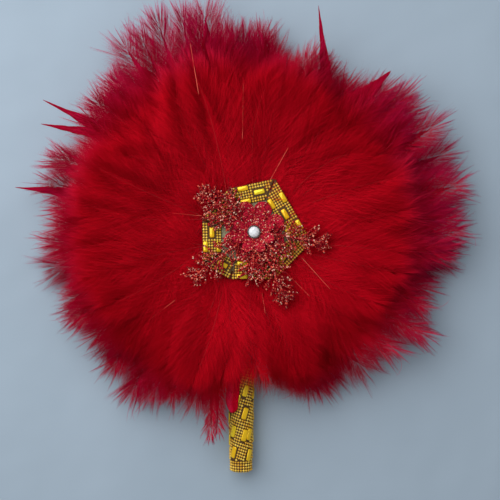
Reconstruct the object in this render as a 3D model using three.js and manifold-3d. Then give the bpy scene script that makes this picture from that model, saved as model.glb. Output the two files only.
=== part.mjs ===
// Round feather hand fan, lying on its back with its decorated face up.
// Millimetres, +Z up. The handle points along -Y, and z = 0 is the surface that the fan lies on.
// The origin is on the flat face of the back cover, under the middle of the two card discs.

import * as THREE from "three";
import { mergeVertices } from "three/addons/utils/BufferGeometryUtils.js";
import Module from "manifold-3d";

const wasm = await Module();
wasm.setup();

// Clearances
const FIT = 0.3; // glue line between two pieces that are stuck together
const SIDE_GAP = 0.8; // between two neighbours of one ring of plumes, or two strips of trim
const ROOT_GAP = 0.8; // between the quills of the two front rings
const LAYER_GAP = 1.4; // between two rings of plumes at the rim
const REST_CLEARANCE = 0.3; // from the handle to the surface that the fan lies on

// Hub: two card discs with the flat end of the handle glued between them
const DISC_RADIUS = 52;
const DISC_THICKNESS = 2.2;
const TONGUE_THICKNESS = 7.2;
const TONGUE_END = 20; // how far the handle runs past the middle of the discs
const COVER_RADIUS = 46;
const DISC_SIDES = 48;

// Handle: a turned dowel, dressed with four strips of trim and a cup of trim on its end
const NECK_RADIUS = 6;
const GRIP_RADIUS = 9.5;
const GRIP_END_RADIUS = 7.9;
const GRIP_START = 114; // from the middle of the discs to the top of the grip
const GRIP_SHOULDER = 8; // length of the cone between the neck and the grip
const HANDLE_REACH = 204; // from the middle of the discs to the end of the handle
const HANDLE_SIDES = 28;
const END_CUP_HEIGHT = 8.5;
const WRAP_STRIPS = 4;
const WRAP_TURNS = 0.4;
const WRAP_STEPS = 14;
const WRAP_COLUMNS = 5;

// Beaded gold trim, on the handle and round the ornament
const TRIM_WIDTH = 16;
const TRIM_THICKNESS = 1.5;
const BAR_LENGTH = 9;
const BAR_WIDTH = 4;
const BAR_HEIGHT = 0.8; // above the beads
const BAR_LANE = 5.6; // from the middle of a strip to each bar of a pair

// Plumes: bunches of dyed feathers with a bare quill at the root
const QUILL_ROOT = 26; // from the middle of the discs to a quill's cut end
const QUILL_WIDTH = 2.4;
const QUILL_THICKNESS = 1.6;
const PLUME_START = 50; // where the feathering starts
const CLIMB_START = 58; // where the plumes leave the plane of the discs
const CLIMB_END = 190;
const PLUME_OPEN = 0.3; // share of the feathering after which a plume has its full width
const PLUME_CLOSING = 0.14; // share of its width that it loses from there to its tips
const PLUME_EDGE = 0.4; // thickness along a plume's sides, as a share of the thickness in its middle
const PLUME_TIP_THICKNESS = 1;
// How much of a plume's reach it has, from one side to the other: the three peaks are the tips of its feathers
const TIP_SHARES = [0.7, 0.83, 0.94, 0.84, 1, 0.85, 0.92, 0.8, 0.68];
const HANDLE_WEDGE = 12; // degrees each side of the handle that the two lower rings leave free
const VANE_WEDGE = 5; // degrees each side of the handle that the smooth feather has to itself

// The four rings of plumes, from the back to the front, with the reach of each tip as a share of the head's radius
const HEAD_RADIUS = 207; // from the middle of the discs to the longest tip
const BACK = {
  name: "back_plume",
  width: 96,
  swell: 5,
  shares: [0.78, 0.9, 0.92, 0.9, 0.82, 0.81, 0.84],
};
const MIDDLE = {
  name: "middle_plume",
  width: 80,
  swell: 5.5,
  shares: [0.78, 0.85, 0.95, 0.83, 0.9, 0.9, 0.91, 0.83, 0.87],
};
const OUTER = {
  name: "outer_plume",
  width: 72,
  swell: 5.5,
  shares: [0.72, 0.92, 0.95, 0.94, 0.84, 1, 0.86, 0.83, 0.82, 0.87],
};
const INNER = {
  name: "inner_plume",
  width: 84,
  swell: 6.5,
  shares: [0.67, 0.73, 0.76, 0.72, 0.77, 0.75, 0.73, 0.68],
};
const SWAY = 9; // how far a plume's tip bends to one side
const HANDLE_SWAY = 24; // the same for the outer plume that hangs down beside the handle

// The smooth feather that lies over the top of the handle
const VANE_REACH = 153;
const VANE_WIDTH = 12.6;
const VANE_THICKNESS = 0.9;
const VANE_SHIFT = -6.2; // its tip lies to the left of the handle's middle line

// Ornament: a pad, a ring of trim, a stamped flower of two layers, four glitter sprigs and a stone
const ORNAMENT_X = 11; // the ornament is glued to the right of the handle's middle line
const PAD_RADIUS = 38;
const PAD_THICKNESS = 1.5;
// The strips of the ring, from the top round to the right. Each has the corner that it starts from, as a share of the
// ring's radius along the middle of the strips, and the places along it of its single bars and of its pairs of bars.
const RING_RADIUS = 40;
const RING_STRIPS = [
  { name: "right", corner: [0.35, 0.9], singles: [0.49], pairs: [0.22, 0.77] },
  { name: "lower_right", corner: [0.98, -0.17], singles: [0.55], pairs: [] },
  { name: "bottom", corner: [0.37, -0.8], singles: [], pairs: [0.76] },
  { name: "lower_left", corner: [-0.45, -0.8], singles: [0.5], pairs: [] },
  { name: "left", corner: [-0.88, -0.57], singles: [0.76], pairs: [0.34] },
  { name: "upper_left", corner: [-0.89, 0.18], singles: [0.5], pairs: [] },
  { name: "top", corner: [-0.43, 0.73], singles: [0.7], pairs: [0.28] },
];
const PETALS = 8;
const PETAL_THICKNESS = 0.8;
const PETAL_STEPS = 6;
const FLOWER_HOLE = 2.5;
const LOWER_FLOWER = { tip: 26.5, notch: 19, flat: 8, rise: 3.9 };
const UPPER_FLOWER = { tip: 18, notch: 11, flat: 6, rise: 4.5 };
const STONE_RADIUS = 4.6;
const STONE_HEIGHT = 2.8;
const SETTING_WALL = 0.7;
const SETTING_HEIGHT = 2.2;
const STONE_SIDES = 16;

// Glitter sprigs: a wire with twigs that end in a glitter bead. Each has a direction in degrees and its share of the
// full length.
const SPRIG_LENGTH = 71;
const SPRIGS = [
  { name: "upper_left", angle: 143, share: 0.84 },
  { name: "lower_left", angle: 217, share: 1 },
  { name: "lower_right", angle: 296, share: 0.98 },
  { name: "right", angle: 352, share: 0.93 },
];
const WIRE_RADIUS = 0.7;
const TWIG_RADIUS = 0.5;
const TWIG_LENGTH = 13;
const TWIG_ANGLE = 46;
const TWIG_PAIRS = 4;
const GLITTER_RADIUS = 1.5;
const SPRIG_ROOT = 5; // from the middle of the flower
const SPRIG_BARE = 0.42; // share of a sprig's length with no twigs

// The strips on the grip are faceted, so their edges stand off it a little more than their flats do
const wrapSector = (2 * Math.PI) / WRAP_STRIPS;
const wrapFacet = wrapSector / WRAP_COLUMNS + (WRAP_TURNS * 2 * Math.PI) / WRAP_STEPS;
const wrapInner = (radius) => (radius + FIT) / Math.cos(wrapFacet / 2);
const wrapOuter = (radius) => wrapInner(radius) + TRIM_THICKNESS;

// Levels, built up from the middle plane of the handle
const axisZ = wrapOuter(GRIP_RADIUS) + REST_CLEARANCE;
const backDiscTop = axisZ - TONGUE_THICKNESS / 2 - FIT;
const backDiscBottom = backDiscTop - DISC_THICKNESS;
const backQuillZ = backDiscBottom - FIT - QUILL_THICKNESS / 2;
const coverTop = backQuillZ - QUILL_THICKNESS / 2 - FIT;
const frontDiscBottom = axisZ + TONGUE_THICKNESS / 2 + FIT;
const frontDiscTop = frontDiscBottom + DISC_THICKNESS;
const middleQuillZ = frontDiscBottom - FIT - QUILL_THICKNESS / 2;
const outerQuillZ = frontDiscTop + FIT + QUILL_THICKNESS / 2;
const innerQuillZ = outerQuillZ + QUILL_THICKNESS + ROOT_GAP;
const padBottom = innerQuillZ + QUILL_THICKNESS / 2 + FIT;
const padTop = padBottom + PAD_THICKNESS;
const trimBottom = padTop + FIT;
const lowerFlowerZ = padTop + FIT;
const sprigZ = lowerFlowerZ + PETAL_THICKNESS + FIT + WIRE_RADIUS;
const upperFlowerZ = sprigZ + WIRE_RADIUS + FIT;
const settingZ = upperFlowerZ + PETAL_THICKNESS + FIT;

const radians = THREE.MathUtils.degToRad;
const fan = new THREE.Group();

// Materials

function paint(color, roughness, metalness = 0) {
  return new THREE.MeshStandardMaterial({ color, roughness, metalness });
}

const wood = paint("#b08a5c", 0.7);
const card = paint("#a08f73", 0.9);
const felt = paint("#7c0814", 0.95);
const padCloth = paint("#a39c80", 0.9);
const feather = paint("#8e0512", 0.8);
const gold = paint("#c9962a", 0.35, 0.8);
const petalCloth = paint("#8f1c2e", 0.6);
const glitter = paint("#b8383f", 0.3, 0.6);
const silver = paint("#b9bcc0", 0.3, 0.9);
const crystal = paint("#eef4f6", 0.1);

// Geometry helpers

function addNode(name, geometry, material, parent = fan) {
  const mesh = new THREE.Mesh(geometry, material);
  mesh.name = name;
  parent.add(mesh);
  return mesh;
}

// A closed geometry whose faces point out, whichever way its triangles were listed
function facingOut(points, index) {
  let volume = 0;
  for (let i = 0; i < index.length; i += 3) {
    const [a, b, c] = [points[index[i]], points[index[i + 1]], points[index[i + 2]]];
    volume += a.dot(new THREE.Vector3().crossVectors(b, c));
  }
  const geometry = new THREE.BufferGeometry().setFromPoints(points);
  geometry.setIndex(volume < 0 ? index.slice().reverse() : index);
  geometry.computeVertexNormals();
  return geometry;
}

// Skins a row of rings. Each ring lists its upper points and then its lower points back again.
function loft(rings) {
  const around = rings[0].length;
  const last = (rings.length - 1) * around;
  const index = [];
  const quad = (a, b, c, d) => index.push(a, b, c, a, c, d);
  for (let base = 0; base < last; base += around) {
    for (let i = 0; i < around; i++) {
      const next = (i + 1) % around;
      quad(base + i, base + next, base + around + next, base + around + i);
    }
  }
  for (let i = 0; i + 1 < around / 2; i++) {
    const across = around - 1 - i;
    quad(i, across, across - 1, i + 1);
    quad(last + i, last + i + 1, last + across - 1, last + across);
  }
  return facingOut(rings.flat(), index);
}

// Skins a row of rings and joins the last ring to the first
function closedLoft(rings) {
  const around = rings[0].length;
  const index = [];
  rings.forEach((ring, j) => {
    const base = j * around;
    const ahead = ((j + 1) % rings.length) * around;
    ring.forEach((point, i) => {
      const next = (i + 1) % around;
      index.push(base + i, base + next, ahead + next, base + i, ahead + next, ahead + i);
    });
  });
  return facingOut(rings.flat(), index);
}

function solidOf(geometry) {
  const bare = geometry.clone();
  bare.deleteAttribute("normal");
  bare.deleteAttribute("uv");
  const merged = mergeVertices(bare);
  return new wasm.Manifold(
    new wasm.Mesh({
      numProp: 3,
      vertProperties: merged.attributes.position.array,
      triVerts: new Uint32Array(merged.index.array),
    }),
  );
}

function geometryOf(solid) {
  const { vertProperties, triVerts } = solid.getMesh();
  const geometry = new THREE.BufferGeometry();
  geometry.setAttribute("position", new THREE.BufferAttribute(vertProperties, 3));
  geometry.setIndex(new THREE.BufferAttribute(triVerts, 1));
  geometry.computeVertexNormals();
  return geometry;
}

function polar(radius, angle, z) {
  return new THREE.Vector3(radius * Math.cos(angle), radius * Math.sin(angle), z);
}

// A round plate that lies flat, from one height to another
function plate(radius, bottom, top) {
  const geometry = new THREE.CylinderGeometry(radius, radius, top - bottom, DISC_SIDES);
  return geometry.rotateX(Math.PI / 2).translate(0, 0, (bottom + top) / 2);
}

// Hub

function addHub() {
  addNode("back_cover", plate(COVER_RADIUS, 0, coverTop), felt);
  addNode("back_disc", plate(DISC_RADIUS, backDiscBottom, backDiscTop), card);
  addNode("front_disc", plate(DISC_RADIUS, frontDiscBottom, frontDiscTop), card);
}

// Handle

const cupOuterRadius = GRIP_END_RADIUS + FIT + TRIM_THICKNESS;
const gripEnd = HANDLE_REACH - TRIM_THICKNESS - FIT;
const wrapEnd = HANDLE_REACH - END_CUP_HEIGHT - FIT;

function gripRadius(distance) {
  const share = (distance - GRIP_START) / (gripEnd - GRIP_START);
  return THREE.MathUtils.lerp(GRIP_RADIUS, GRIP_END_RADIUS, share);
}

// A turned dowel whose top end is planed flat on two sides to go between the discs
function addRod(handle) {
  const profile = [
    [0, -gripEnd],
    [GRIP_END_RADIUS, -gripEnd],
    [GRIP_RADIUS, -GRIP_START],
    [NECK_RADIUS, -GRIP_START + GRIP_SHOULDER],
    [NECK_RADIUS, TONGUE_END],
    [0, TONGUE_END],
  ].map(([radius, y]) => new THREE.Vector2(radius, y));
  const dowel = solidOf(new THREE.LatheGeometry(profile, HANDLE_SIDES));
  const tongueLength = DISC_RADIUS + FIT + TONGUE_END;
  const planed = [1, -1].map((side) => {
    const chip = new THREE.BoxGeometry(3 * NECK_RADIUS, tongueLength, NECK_RADIUS);
    const lift = side * (TONGUE_THICKNESS + NECK_RADIUS) / 2;
    return solidOf(chip.translate(0, TONGUE_END - tongueLength / 2, lift));
  });
  const rod = planed.reduce((whole, chip) => whole.subtract(chip), dowel);
  addNode("handle_rod", geometryOf(rod), wood, handle);
}

// One strip of trim, wound steeply down the grip
function wrapStrip(number) {
  const rings = [];
  for (let step = 0; step <= WRAP_STEPS; step++) {
    const share = step / WRAP_STEPS;
    const distance = THREE.MathUtils.lerp(GRIP_START + FIT, wrapEnd, share);
    const inner = wrapInner(gripRadius(distance));
    const outer = wrapOuter(gripRadius(distance));
    const gapAngle = SIDE_GAP / inner;
    const start = number * wrapSector - WRAP_TURNS * 2 * Math.PI * share;
    const arc = (radius) =>
      Array.from({ length: WRAP_COLUMNS + 1 }, (_, column) => {
        const turn = start + ((wrapSector - gapAngle) * column) / WRAP_COLUMNS;
        return new THREE.Vector3(radius * Math.sin(turn), -distance, radius * Math.cos(turn));
      });
    rings.push([...arc(outer), ...arc(inner).reverse()]);
  }
  return loft(rings);
}

function addHandle() {
  const handle = new THREE.Group();
  handle.position.z = axisZ;
  fan.add(handle);
  addRod(handle);
  for (let number = 0; number < WRAP_STRIPS; number++) {
    addNode(`handle_trim_${number + 1}`, wrapStrip(number), gold, handle);
  }
  const cupInnerRadius = GRIP_END_RADIUS + FIT;
  const cupWallStart = -HANDLE_REACH + END_CUP_HEIGHT;
  const bevel = TRIM_THICKNESS;
  const cup = [
    [0, -HANDLE_REACH],
    [cupOuterRadius - bevel, -HANDLE_REACH],
    [cupOuterRadius, -HANDLE_REACH + bevel],
    [gripRadius(-cupWallStart) + FIT + TRIM_THICKNESS, cupWallStart],
    [gripRadius(-cupWallStart) + FIT, cupWallStart],
    [cupInnerRadius, -gripEnd - FIT],
    [0, -gripEnd - FIT],
  ].map(([radius, y]) => new THREE.Vector2(radius, y));
  addNode("handle_end_cup", new THREE.LatheGeometry(cup, HANDLE_SIDES), gold, handle);
}

// Plumes

// Each ring of plumes climbs just far enough to clear the ring under it at its thickest
BACK.rootZ = backQuillZ;
BACK.rise = Math.max(0, BACK.swell + FIT - coverTop);
MIDDLE.rootZ = middleQuillZ;
OUTER.rootZ = outerQuillZ;
INNER.rootZ = innerQuillZ;
[[BACK, MIDDLE], [MIDDLE, OUTER], [OUTER, INNER]].forEach(([under, over]) => {
  const spare = over.rootZ - under.rootZ - QUILL_THICKNESS - FIT;
  over.rise = under.rise + under.swell + over.swell + LAYER_GAP - spare;
});

// How far up its climb a plume is at a distance from the middle, from 0 to 1
function climb(distance) {
  const share = THREE.MathUtils.clamp((distance - CLIMB_START) / (CLIMB_END - CLIMB_START), 0, 1);
  return Math.sin((share * Math.PI) / 2);
}

function upperSurface(ring, distance) {
  return ring.rootZ + QUILL_THICKNESS / 2 + (ring.rise + ring.swell) * climb(distance);
}

// Half the width of a plume: it fills out from its quill and then narrows a little
function halfWidth(width, share) {
  const opening = 1 - Math.pow(1 - Math.min(1, share / PLUME_OPEN), 2);
  const full = (width / 2) * opening * (1 - PLUME_CLOSING * share);
  return Math.max(full, QUILL_WIDTH / 2);
}

const PLUME_STATIONS = [0, 0.06, 0.16, 0.3, 0.48, 0.66, 0.84, 1];

// One point of a plume, at a share of its feathering and a place across it from -1 to 1
function plumePoint(plume, share, across, tipShare, side) {
  const distance = THREE.MathUtils.lerp(PLUME_START, plume.reach * tipShare, share);
  const limit = distance * Math.tan(plume.wedge) - SIDE_GAP / 2;
  const wanted = plume.sway * share * share + across * halfWidth(plume.ring.width, share);
  const sideways = THREE.MathUtils.clamp(wanted, -limit, limit);
  const height = climb(Math.hypot(distance, sideways));
  const round = THREE.MathUtils.lerp(PLUME_EDGE, 1, Math.sqrt(1 - across * across));
  const taper = Math.sqrt(1 - Math.pow(share, 4));
  const swell = (QUILL_THICKNESS / 2 + plume.ring.swell * height) * taper * round;
  const half = share > 0 ? Math.max(swell, PLUME_TIP_THICKNESS / 2) : swell;
  return new THREE.Vector3(distance, sideways, plume.ring.rootZ + plume.ring.rise * height + side * half);
}

// A bunch of feathers with its bare quill, built along +X and then turned to its place round the fan
function plumeGeometry(plume) {
  const columns = TIP_SHARES.map((tipShare, column) => [(2 * column) / (TIP_SHARES.length - 1) - 1, tipShare]);
  const rings = PLUME_STATIONS.map((share) => {
    const upper = columns.map(([across, tipShare]) => plumePoint(plume, share, across, tipShare, 1));
    const lower = columns.map(([across, tipShare]) => plumePoint(plume, share, across, tipShare, -1));
    return [...upper, ...lower.reverse()];
  });
  const root = rings[0].map((point) => point.clone().setX(QUILL_ROOT));
  return loft([root, ...rings]).rotateZ(plume.angle);
}

// A ring of plumes, spread evenly round the fan from one side of the handle to the other
function addPlumes(ring, freeWedge) {
  const wedge = (360 - 2 * freeWedge) / ring.shares.length;
  const last = ring.shares.length - 1;
  ring.shares.forEach((share, number) => {
    const hangs = ring === OUTER && number === last;
    const plume = {
      ring,
      angle: radians(270 + freeWedge + wedge * (number + 0.5)),
      wedge: radians(wedge / 2),
      reach: share * HEAD_RADIUS,
      sway: hangs ? HANDLE_SWAY : SWAY * (number % 2 ? 1 : -1),
    };
    addNode(`${ring.name}_${number + 1}`, plumeGeometry(plume), feather);
  });
}

// The smooth feather: it leaves the hub with the outer plumes and comes down on the handle
function addVane() {
  const onHandle = axisZ + wrapOuter(GRIP_RADIUS) + FIT + VANE_THICKNESS / 2;
  const levels = [
    [QUILL_ROOT, QUILL_WIDTH, QUILL_THICKNESS, outerQuillZ],
    [CLIMB_START, QUILL_WIDTH, QUILL_THICKNESS, outerQuillZ],
    [(CLIMB_START + GRIP_START) / 2, VANE_WIDTH * 0.6, VANE_THICKNESS, (outerQuillZ + onHandle) / 2],
    [GRIP_START - GRIP_SHOULDER, VANE_WIDTH * 0.9, VANE_THICKNESS, onHandle],
    [(GRIP_START + VANE_REACH) / 2, VANE_WIDTH, VANE_THICKNESS, onHandle],
    [VANE_REACH - VANE_WIDTH / 4, VANE_WIDTH * 0.95, VANE_THICKNESS, onHandle],
    [VANE_REACH, VANE_WIDTH * 0.5, VANE_THICKNESS * 0.7, onHandle],
  ];
  const turns = [157.5, 112.5, 67.5, 22.5, -22.5, -67.5, -112.5, -157.5].map(radians);
  const sections = levels.map(([distance, width, thickness, z]) => {
    const share = Math.max(0, (distance - CLIMB_START) / (VANE_REACH - CLIMB_START));
    const limit = distance * Math.tan(radians(VANE_WEDGE)) - SIDE_GAP / 2;
    return turns.map((turn) => {
      const sideways = VANE_SHIFT * share + (width / 2) * Math.cos(turn);
      const x = THREE.MathUtils.clamp(sideways, -limit, limit);
      return new THREE.Vector3(x, -distance, z + (thickness / 2) * Math.sin(turn));
    });
  });
  addNode("handle_vane", loft(sections), feather);
}

// Ornament

const ornament = new THREE.Group();
ornament.position.x = ORNAMENT_X;
fan.add(ornament);

// The point where the middle line of a strip turns into the next, and the direction of the mitre there
function mitre(corners, number) {
  const count = corners.length;
  const corner = corners[number % count];
  const before = corners[(number + count - 1) % count];
  const after = corners[(number + 1) % count];
  const into = corner.clone().sub(before).normalize();
  const outOf = after.clone().sub(corner).normalize();
  return { corner, direction: outOf.sub(into).normalize() };
}

// The place along a mitre that lies a given distance to the left of the strip's middle line
function mitrePoint(cut, along, left, side, pullBack) {
  const offset = side / cut.direction.dot(left);
  return cut.corner.clone().addScaledVector(cut.direction, offset).addScaledVector(along, pullBack);
}

// One strip of the ring, mitred to its neighbours, with its raised bars
function ringStrip(corners, number) {
  const from = mitre(corners, number);
  const to = mitre(corners, number + 1);
  const along = to.corner.clone().sub(from.corner).normalize();
  const left = new THREE.Vector2(-along.y, along.x);
  const half = TRIM_WIDTH / 2;
  const outline = new THREE.Shape([
    mitrePoint(from, along, left, half, SIDE_GAP / 2),
    mitrePoint(from, along, left, -half, SIDE_GAP / 2),
    mitrePoint(to, along, left, -half, -SIDE_GAP / 2),
    mitrePoint(to, along, left, half, -SIDE_GAP / 2),
  ]);
  const base = new THREE.ExtrudeGeometry(outline, { depth: TRIM_THICKNESS, bevelEnabled: false });
  let strip = solidOf(base);
  const { singles, pairs } = RING_STRIPS[number];
  const bars = [
    ...singles.map((share) => [share, 0]),
    ...pairs.flatMap((share) => [[share, BAR_LANE], [share, -BAR_LANE]]),
  ];
  for (const [share, lane] of bars) {
    const place = from.corner.clone().lerp(to.corner, share);
    const bar = new THREE.BoxGeometry(BAR_LENGTH, BAR_WIDTH, TRIM_THICKNESS + BAR_HEIGHT);
    bar.translate(0, lane, (TRIM_THICKNESS + BAR_HEIGHT) / 2).rotateZ(along.angle());
    strip = strip.add(solidOf(bar.translate(place.x, place.y, 0)));
  }
  return geometryOf(strip).translate(0, 0, trimBottom);
}

function addRing() {
  const corners = RING_STRIPS.map(({ corner }) => new THREE.Vector2(...corner).multiplyScalar(RING_RADIUS));
  RING_STRIPS.forEach(({ name }, number) => {
    addNode(`ring_trim_${name}`, ringStrip(corners, number), gold, ornament);
  });
}

// One stamped layer of the flower: a flat middle with a hole, and petals that turn up
function flowerLayer(shape, bottom) {
  const steps = PETALS * PETAL_STEPS;
  const spans = [0, 0.4, 0.75, 1];
  const rings = Array.from({ length: steps }, (_, step) => {
    const angle = (2 * Math.PI * step) / steps;
    const bloom = Math.pow(Math.abs(Math.sin((PETALS * angle) / 2)), 0.7);
    const edge = THREE.MathUtils.lerp(shape.notch, shape.tip, bloom);
    const level = (radius) => {
      const share = Math.max(0, (radius - shape.flat) / (shape.tip - shape.flat));
      return bottom + shape.rise * Math.pow(share, 1.5);
    };
    const radii = spans.map((span) => THREE.MathUtils.lerp(FLOWER_HOLE, edge, span));
    const upper = radii.map((radius) => polar(radius, angle, level(radius) + PETAL_THICKNESS));
    const lower = radii.map((radius) => polar(radius, angle, level(radius)));
    return [...upper, ...lower.reverse()];
  });
  return closedLoft(rings);
}

// The round stone, faceted, and the cup that holds it
function addStone() {
  const cupRadius = STONE_RADIUS + FIT + SETTING_WALL;
  const floorTop = settingZ + SETTING_WALL;
  const cup = [
    [0, settingZ],
    [cupRadius, settingZ],
    [cupRadius, settingZ + SETTING_HEIGHT],
    [STONE_RADIUS + FIT, settingZ + SETTING_HEIGHT],
    [STONE_RADIUS + FIT, floorTop],
    [0, floorTop],
  ];
  const seat = floorTop + FIT;
  const girdle = seat + STONE_HEIGHT * 0.55;
  const stone = [
    [0, seat],
    [STONE_RADIUS * 0.7, seat],
    [STONE_RADIUS, girdle],
    [STONE_RADIUS * 0.6, seat + STONE_HEIGHT],
    [0, seat + STONE_HEIGHT],
  ];
  const turned = (profile) =>
    new THREE.LatheGeometry(profile.map(([r, z]) => new THREE.Vector2(r, z)), STONE_SIDES).rotateX(Math.PI / 2);
  addNode("stone_setting", turned(cup), silver, ornament);
  addNode("center_stone", turned(stone), crystal, ornament);
}

// The curve of a sprig's wire: flat under the upper flower, over the ring of trim, then above the plumes
function sprigCurve(sprig) {
  const direction = polar(1, radians(sprig.angle), 0);
  const length = sprig.share * SPRIG_LENGTH;
  const overRing = trimBottom + TRIM_THICKNESS + BAR_HEIGHT + FIT + GLITTER_RADIUS;
  const overPetals = lowerFlowerZ + LOWER_FLOWER.rise + PETAL_THICKNESS + FIT + WIRE_RADIUS;
  const clear = Math.max(overRing, overPetals) + WIRE_RADIUS;
  const tip = direction.clone().multiplyScalar(length);
  const tipDistance = Math.hypot(tip.x + ORNAMENT_X, tip.y) + TWIG_LENGTH / 2;
  const overPlumes = upperSurface(INNER, tipDistance) + FIT + 2 * GLITTER_RADIUS;
  const levels = [
    [SPRIG_ROOT, sprigZ],
    [LOWER_FLOWER.flat, sprigZ + FIT],
    [LOWER_FLOWER.tip, clear],
    [(LOWER_FLOWER.tip + length) / 2, (clear + Math.max(clear, overPlumes)) / 2],
    [length, Math.max(clear, overPlumes)],
  ];
  const points = levels.map(([distance, z]) => direction.clone().multiplyScalar(distance).setZ(z));
  return new THREE.CatmullRomCurve3(points, false, "centripetal");
}

function twigWithBead(start, heading) {
  const end = start.clone().addScaledVector(heading, TWIG_LENGTH);
  const twig = new THREE.CylinderGeometry(TWIG_RADIUS, TWIG_RADIUS, TWIG_LENGTH, 5);
  twig.translate(0, TWIG_LENGTH / 2, 0);
  twig.applyQuaternion(new THREE.Quaternion().setFromUnitVectors(new THREE.Vector3(0, 1, 0), heading));
  twig.translate(start.x, start.y, start.z);
  const bead = new THREE.IcosahedronGeometry(GLITTER_RADIUS, 0).translate(end.x, end.y, end.z);
  return solidOf(twig).add(solidOf(bead));
}

function addSprigs() {
  for (const sprig of SPRIGS) {
    const curve = sprigCurve(sprig);
    const section = new THREE.Shape().absarc(0, 0, WIRE_RADIUS, 0, 2 * Math.PI);
    const wire = new THREE.ExtrudeGeometry(section, {
      extrudePath: curve,
      steps: 12,
      curveSegments: 3,
      bevelEnabled: false,
    });
    let spray = solidOf(wire);
    const outward = radians(sprig.angle);
    for (let pair = 0; pair < TWIG_PAIRS; pair++) {
      const share = THREE.MathUtils.lerp(SPRIG_BARE, 0.9, pair / (TWIG_PAIRS - 1));
      const start = curve.getPointAt(share);
      for (const side of [1, -1]) {
        const lean = outward + side * radians(TWIG_ANGLE);
        const heading = polar(1, lean, 0.12).normalize();
        spray = spray.add(twigWithBead(start, heading));
      }
    }
    const tip = curve.getPointAt(1);
    const tipBead = new THREE.IcosahedronGeometry(GLITTER_RADIUS, 0).translate(tip.x, tip.y, tip.z);
    spray = spray.add(solidOf(tipBead));
    addNode(`sprig_${sprig.name}`, geometryOf(spray), glitter, ornament);
  }
}

function addOrnament() {
  addNode("center_pad", plate(PAD_RADIUS, padBottom, padTop), padCloth, ornament);
  addRing();
  addNode("flower_lower", flowerLayer(LOWER_FLOWER, lowerFlowerZ), petalCloth, ornament);
  addNode("flower_upper", flowerLayer(UPPER_FLOWER, upperFlowerZ), petalCloth, ornament);
  addStone();
  addSprigs();
}

addHub();
addHandle();
addPlumes(BACK, HANDLE_WEDGE);
addPlumes(MIDDLE, HANDLE_WEDGE);
addPlumes(OUTER, VANE_WEDGE);
addPlumes(INNER, 0);
addVane();
addOrnament();

export default fan;
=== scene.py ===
"""Looks of a round red feather hand fan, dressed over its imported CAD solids.

Metres, +Z up. The fan lies on its back with its face up and its handle along -Y.
"""

import math

import bpy
import numpy as np
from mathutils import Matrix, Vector
from mathutils.bvhtree import BVHTree


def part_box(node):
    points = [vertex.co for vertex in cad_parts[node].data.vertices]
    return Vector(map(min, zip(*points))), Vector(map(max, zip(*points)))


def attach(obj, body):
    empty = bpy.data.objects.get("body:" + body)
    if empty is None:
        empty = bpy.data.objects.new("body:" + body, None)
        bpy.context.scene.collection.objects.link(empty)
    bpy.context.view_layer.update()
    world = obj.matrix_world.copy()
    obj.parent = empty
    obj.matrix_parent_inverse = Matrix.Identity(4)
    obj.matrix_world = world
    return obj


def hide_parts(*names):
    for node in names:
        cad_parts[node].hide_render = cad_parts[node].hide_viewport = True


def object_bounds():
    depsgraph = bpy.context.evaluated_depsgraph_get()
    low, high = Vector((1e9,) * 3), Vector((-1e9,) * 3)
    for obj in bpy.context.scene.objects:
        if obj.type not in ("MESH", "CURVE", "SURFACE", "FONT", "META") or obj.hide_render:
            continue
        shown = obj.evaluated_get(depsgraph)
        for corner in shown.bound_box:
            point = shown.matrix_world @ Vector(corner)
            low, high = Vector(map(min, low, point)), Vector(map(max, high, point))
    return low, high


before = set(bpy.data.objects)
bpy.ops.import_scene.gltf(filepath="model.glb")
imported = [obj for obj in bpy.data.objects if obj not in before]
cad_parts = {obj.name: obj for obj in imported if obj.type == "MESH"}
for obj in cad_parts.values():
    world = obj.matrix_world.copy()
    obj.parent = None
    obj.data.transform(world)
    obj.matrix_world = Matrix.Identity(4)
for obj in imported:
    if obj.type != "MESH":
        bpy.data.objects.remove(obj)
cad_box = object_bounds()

MM = 0.001
UP = np.array([0.0, 0.0, 1.0])
FULL_TURN = 2 * math.pi
SEED = 20
# Points of a CAD node this near to one another count as level.
LEVEL_BAND = 0.1 * MM
# Tones and fades keep this far from the edges of the palette map.
PALETTE_EDGE = 0.02

# The photograph looks straight down, and one of its pixels is 0.85 mm at the height of the feathers.
PIXEL = 0.85 * MM
PHOTO_PIXELS = 500
HUB_PIXEL = (241, 232)
SCALE_HEIGHT = 20 * MM
CAMERA_LENS = 85.0
SENSOR_WIDTH = 36.0


# Small helpers on points

def unit(vectors):
    """The same vectors with a length of one."""
    return vectors / np.maximum(np.linalg.norm(vectors, axis=-1, keepdims=True), 1e-12)


def round_upright(center, radius, turn, height):
    """Points round an upright axis."""
    x = center[0] + radius * np.cos(turn)
    y = center[1] + radius * np.sin(turn)
    return np.stack(np.broadcast_arrays(x, y, height), axis=-1)


def round_handle(axis_height, radius, turn, y):
    """Points round the handle, whose axis lies along Y."""
    x = radius * np.sin(turn)
    z = axis_height + radius * np.cos(turn)
    return np.stack(np.broadcast_arrays(x, y, z), axis=-1)


def node_points(name):
    """The corner points of a CAD node."""
    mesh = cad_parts[name].data
    points = np.empty(len(mesh.vertices) * 3, np.float32)
    mesh.vertices.foreach_get("co", points)
    return points.reshape(-1, 3).astype(float)


def node_middle(name):
    """The middle of a CAD node's box, its low corner and its size."""
    low, high = (np.array(corner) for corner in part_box(name))
    return (low + high) / 2, low, high - low


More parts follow.
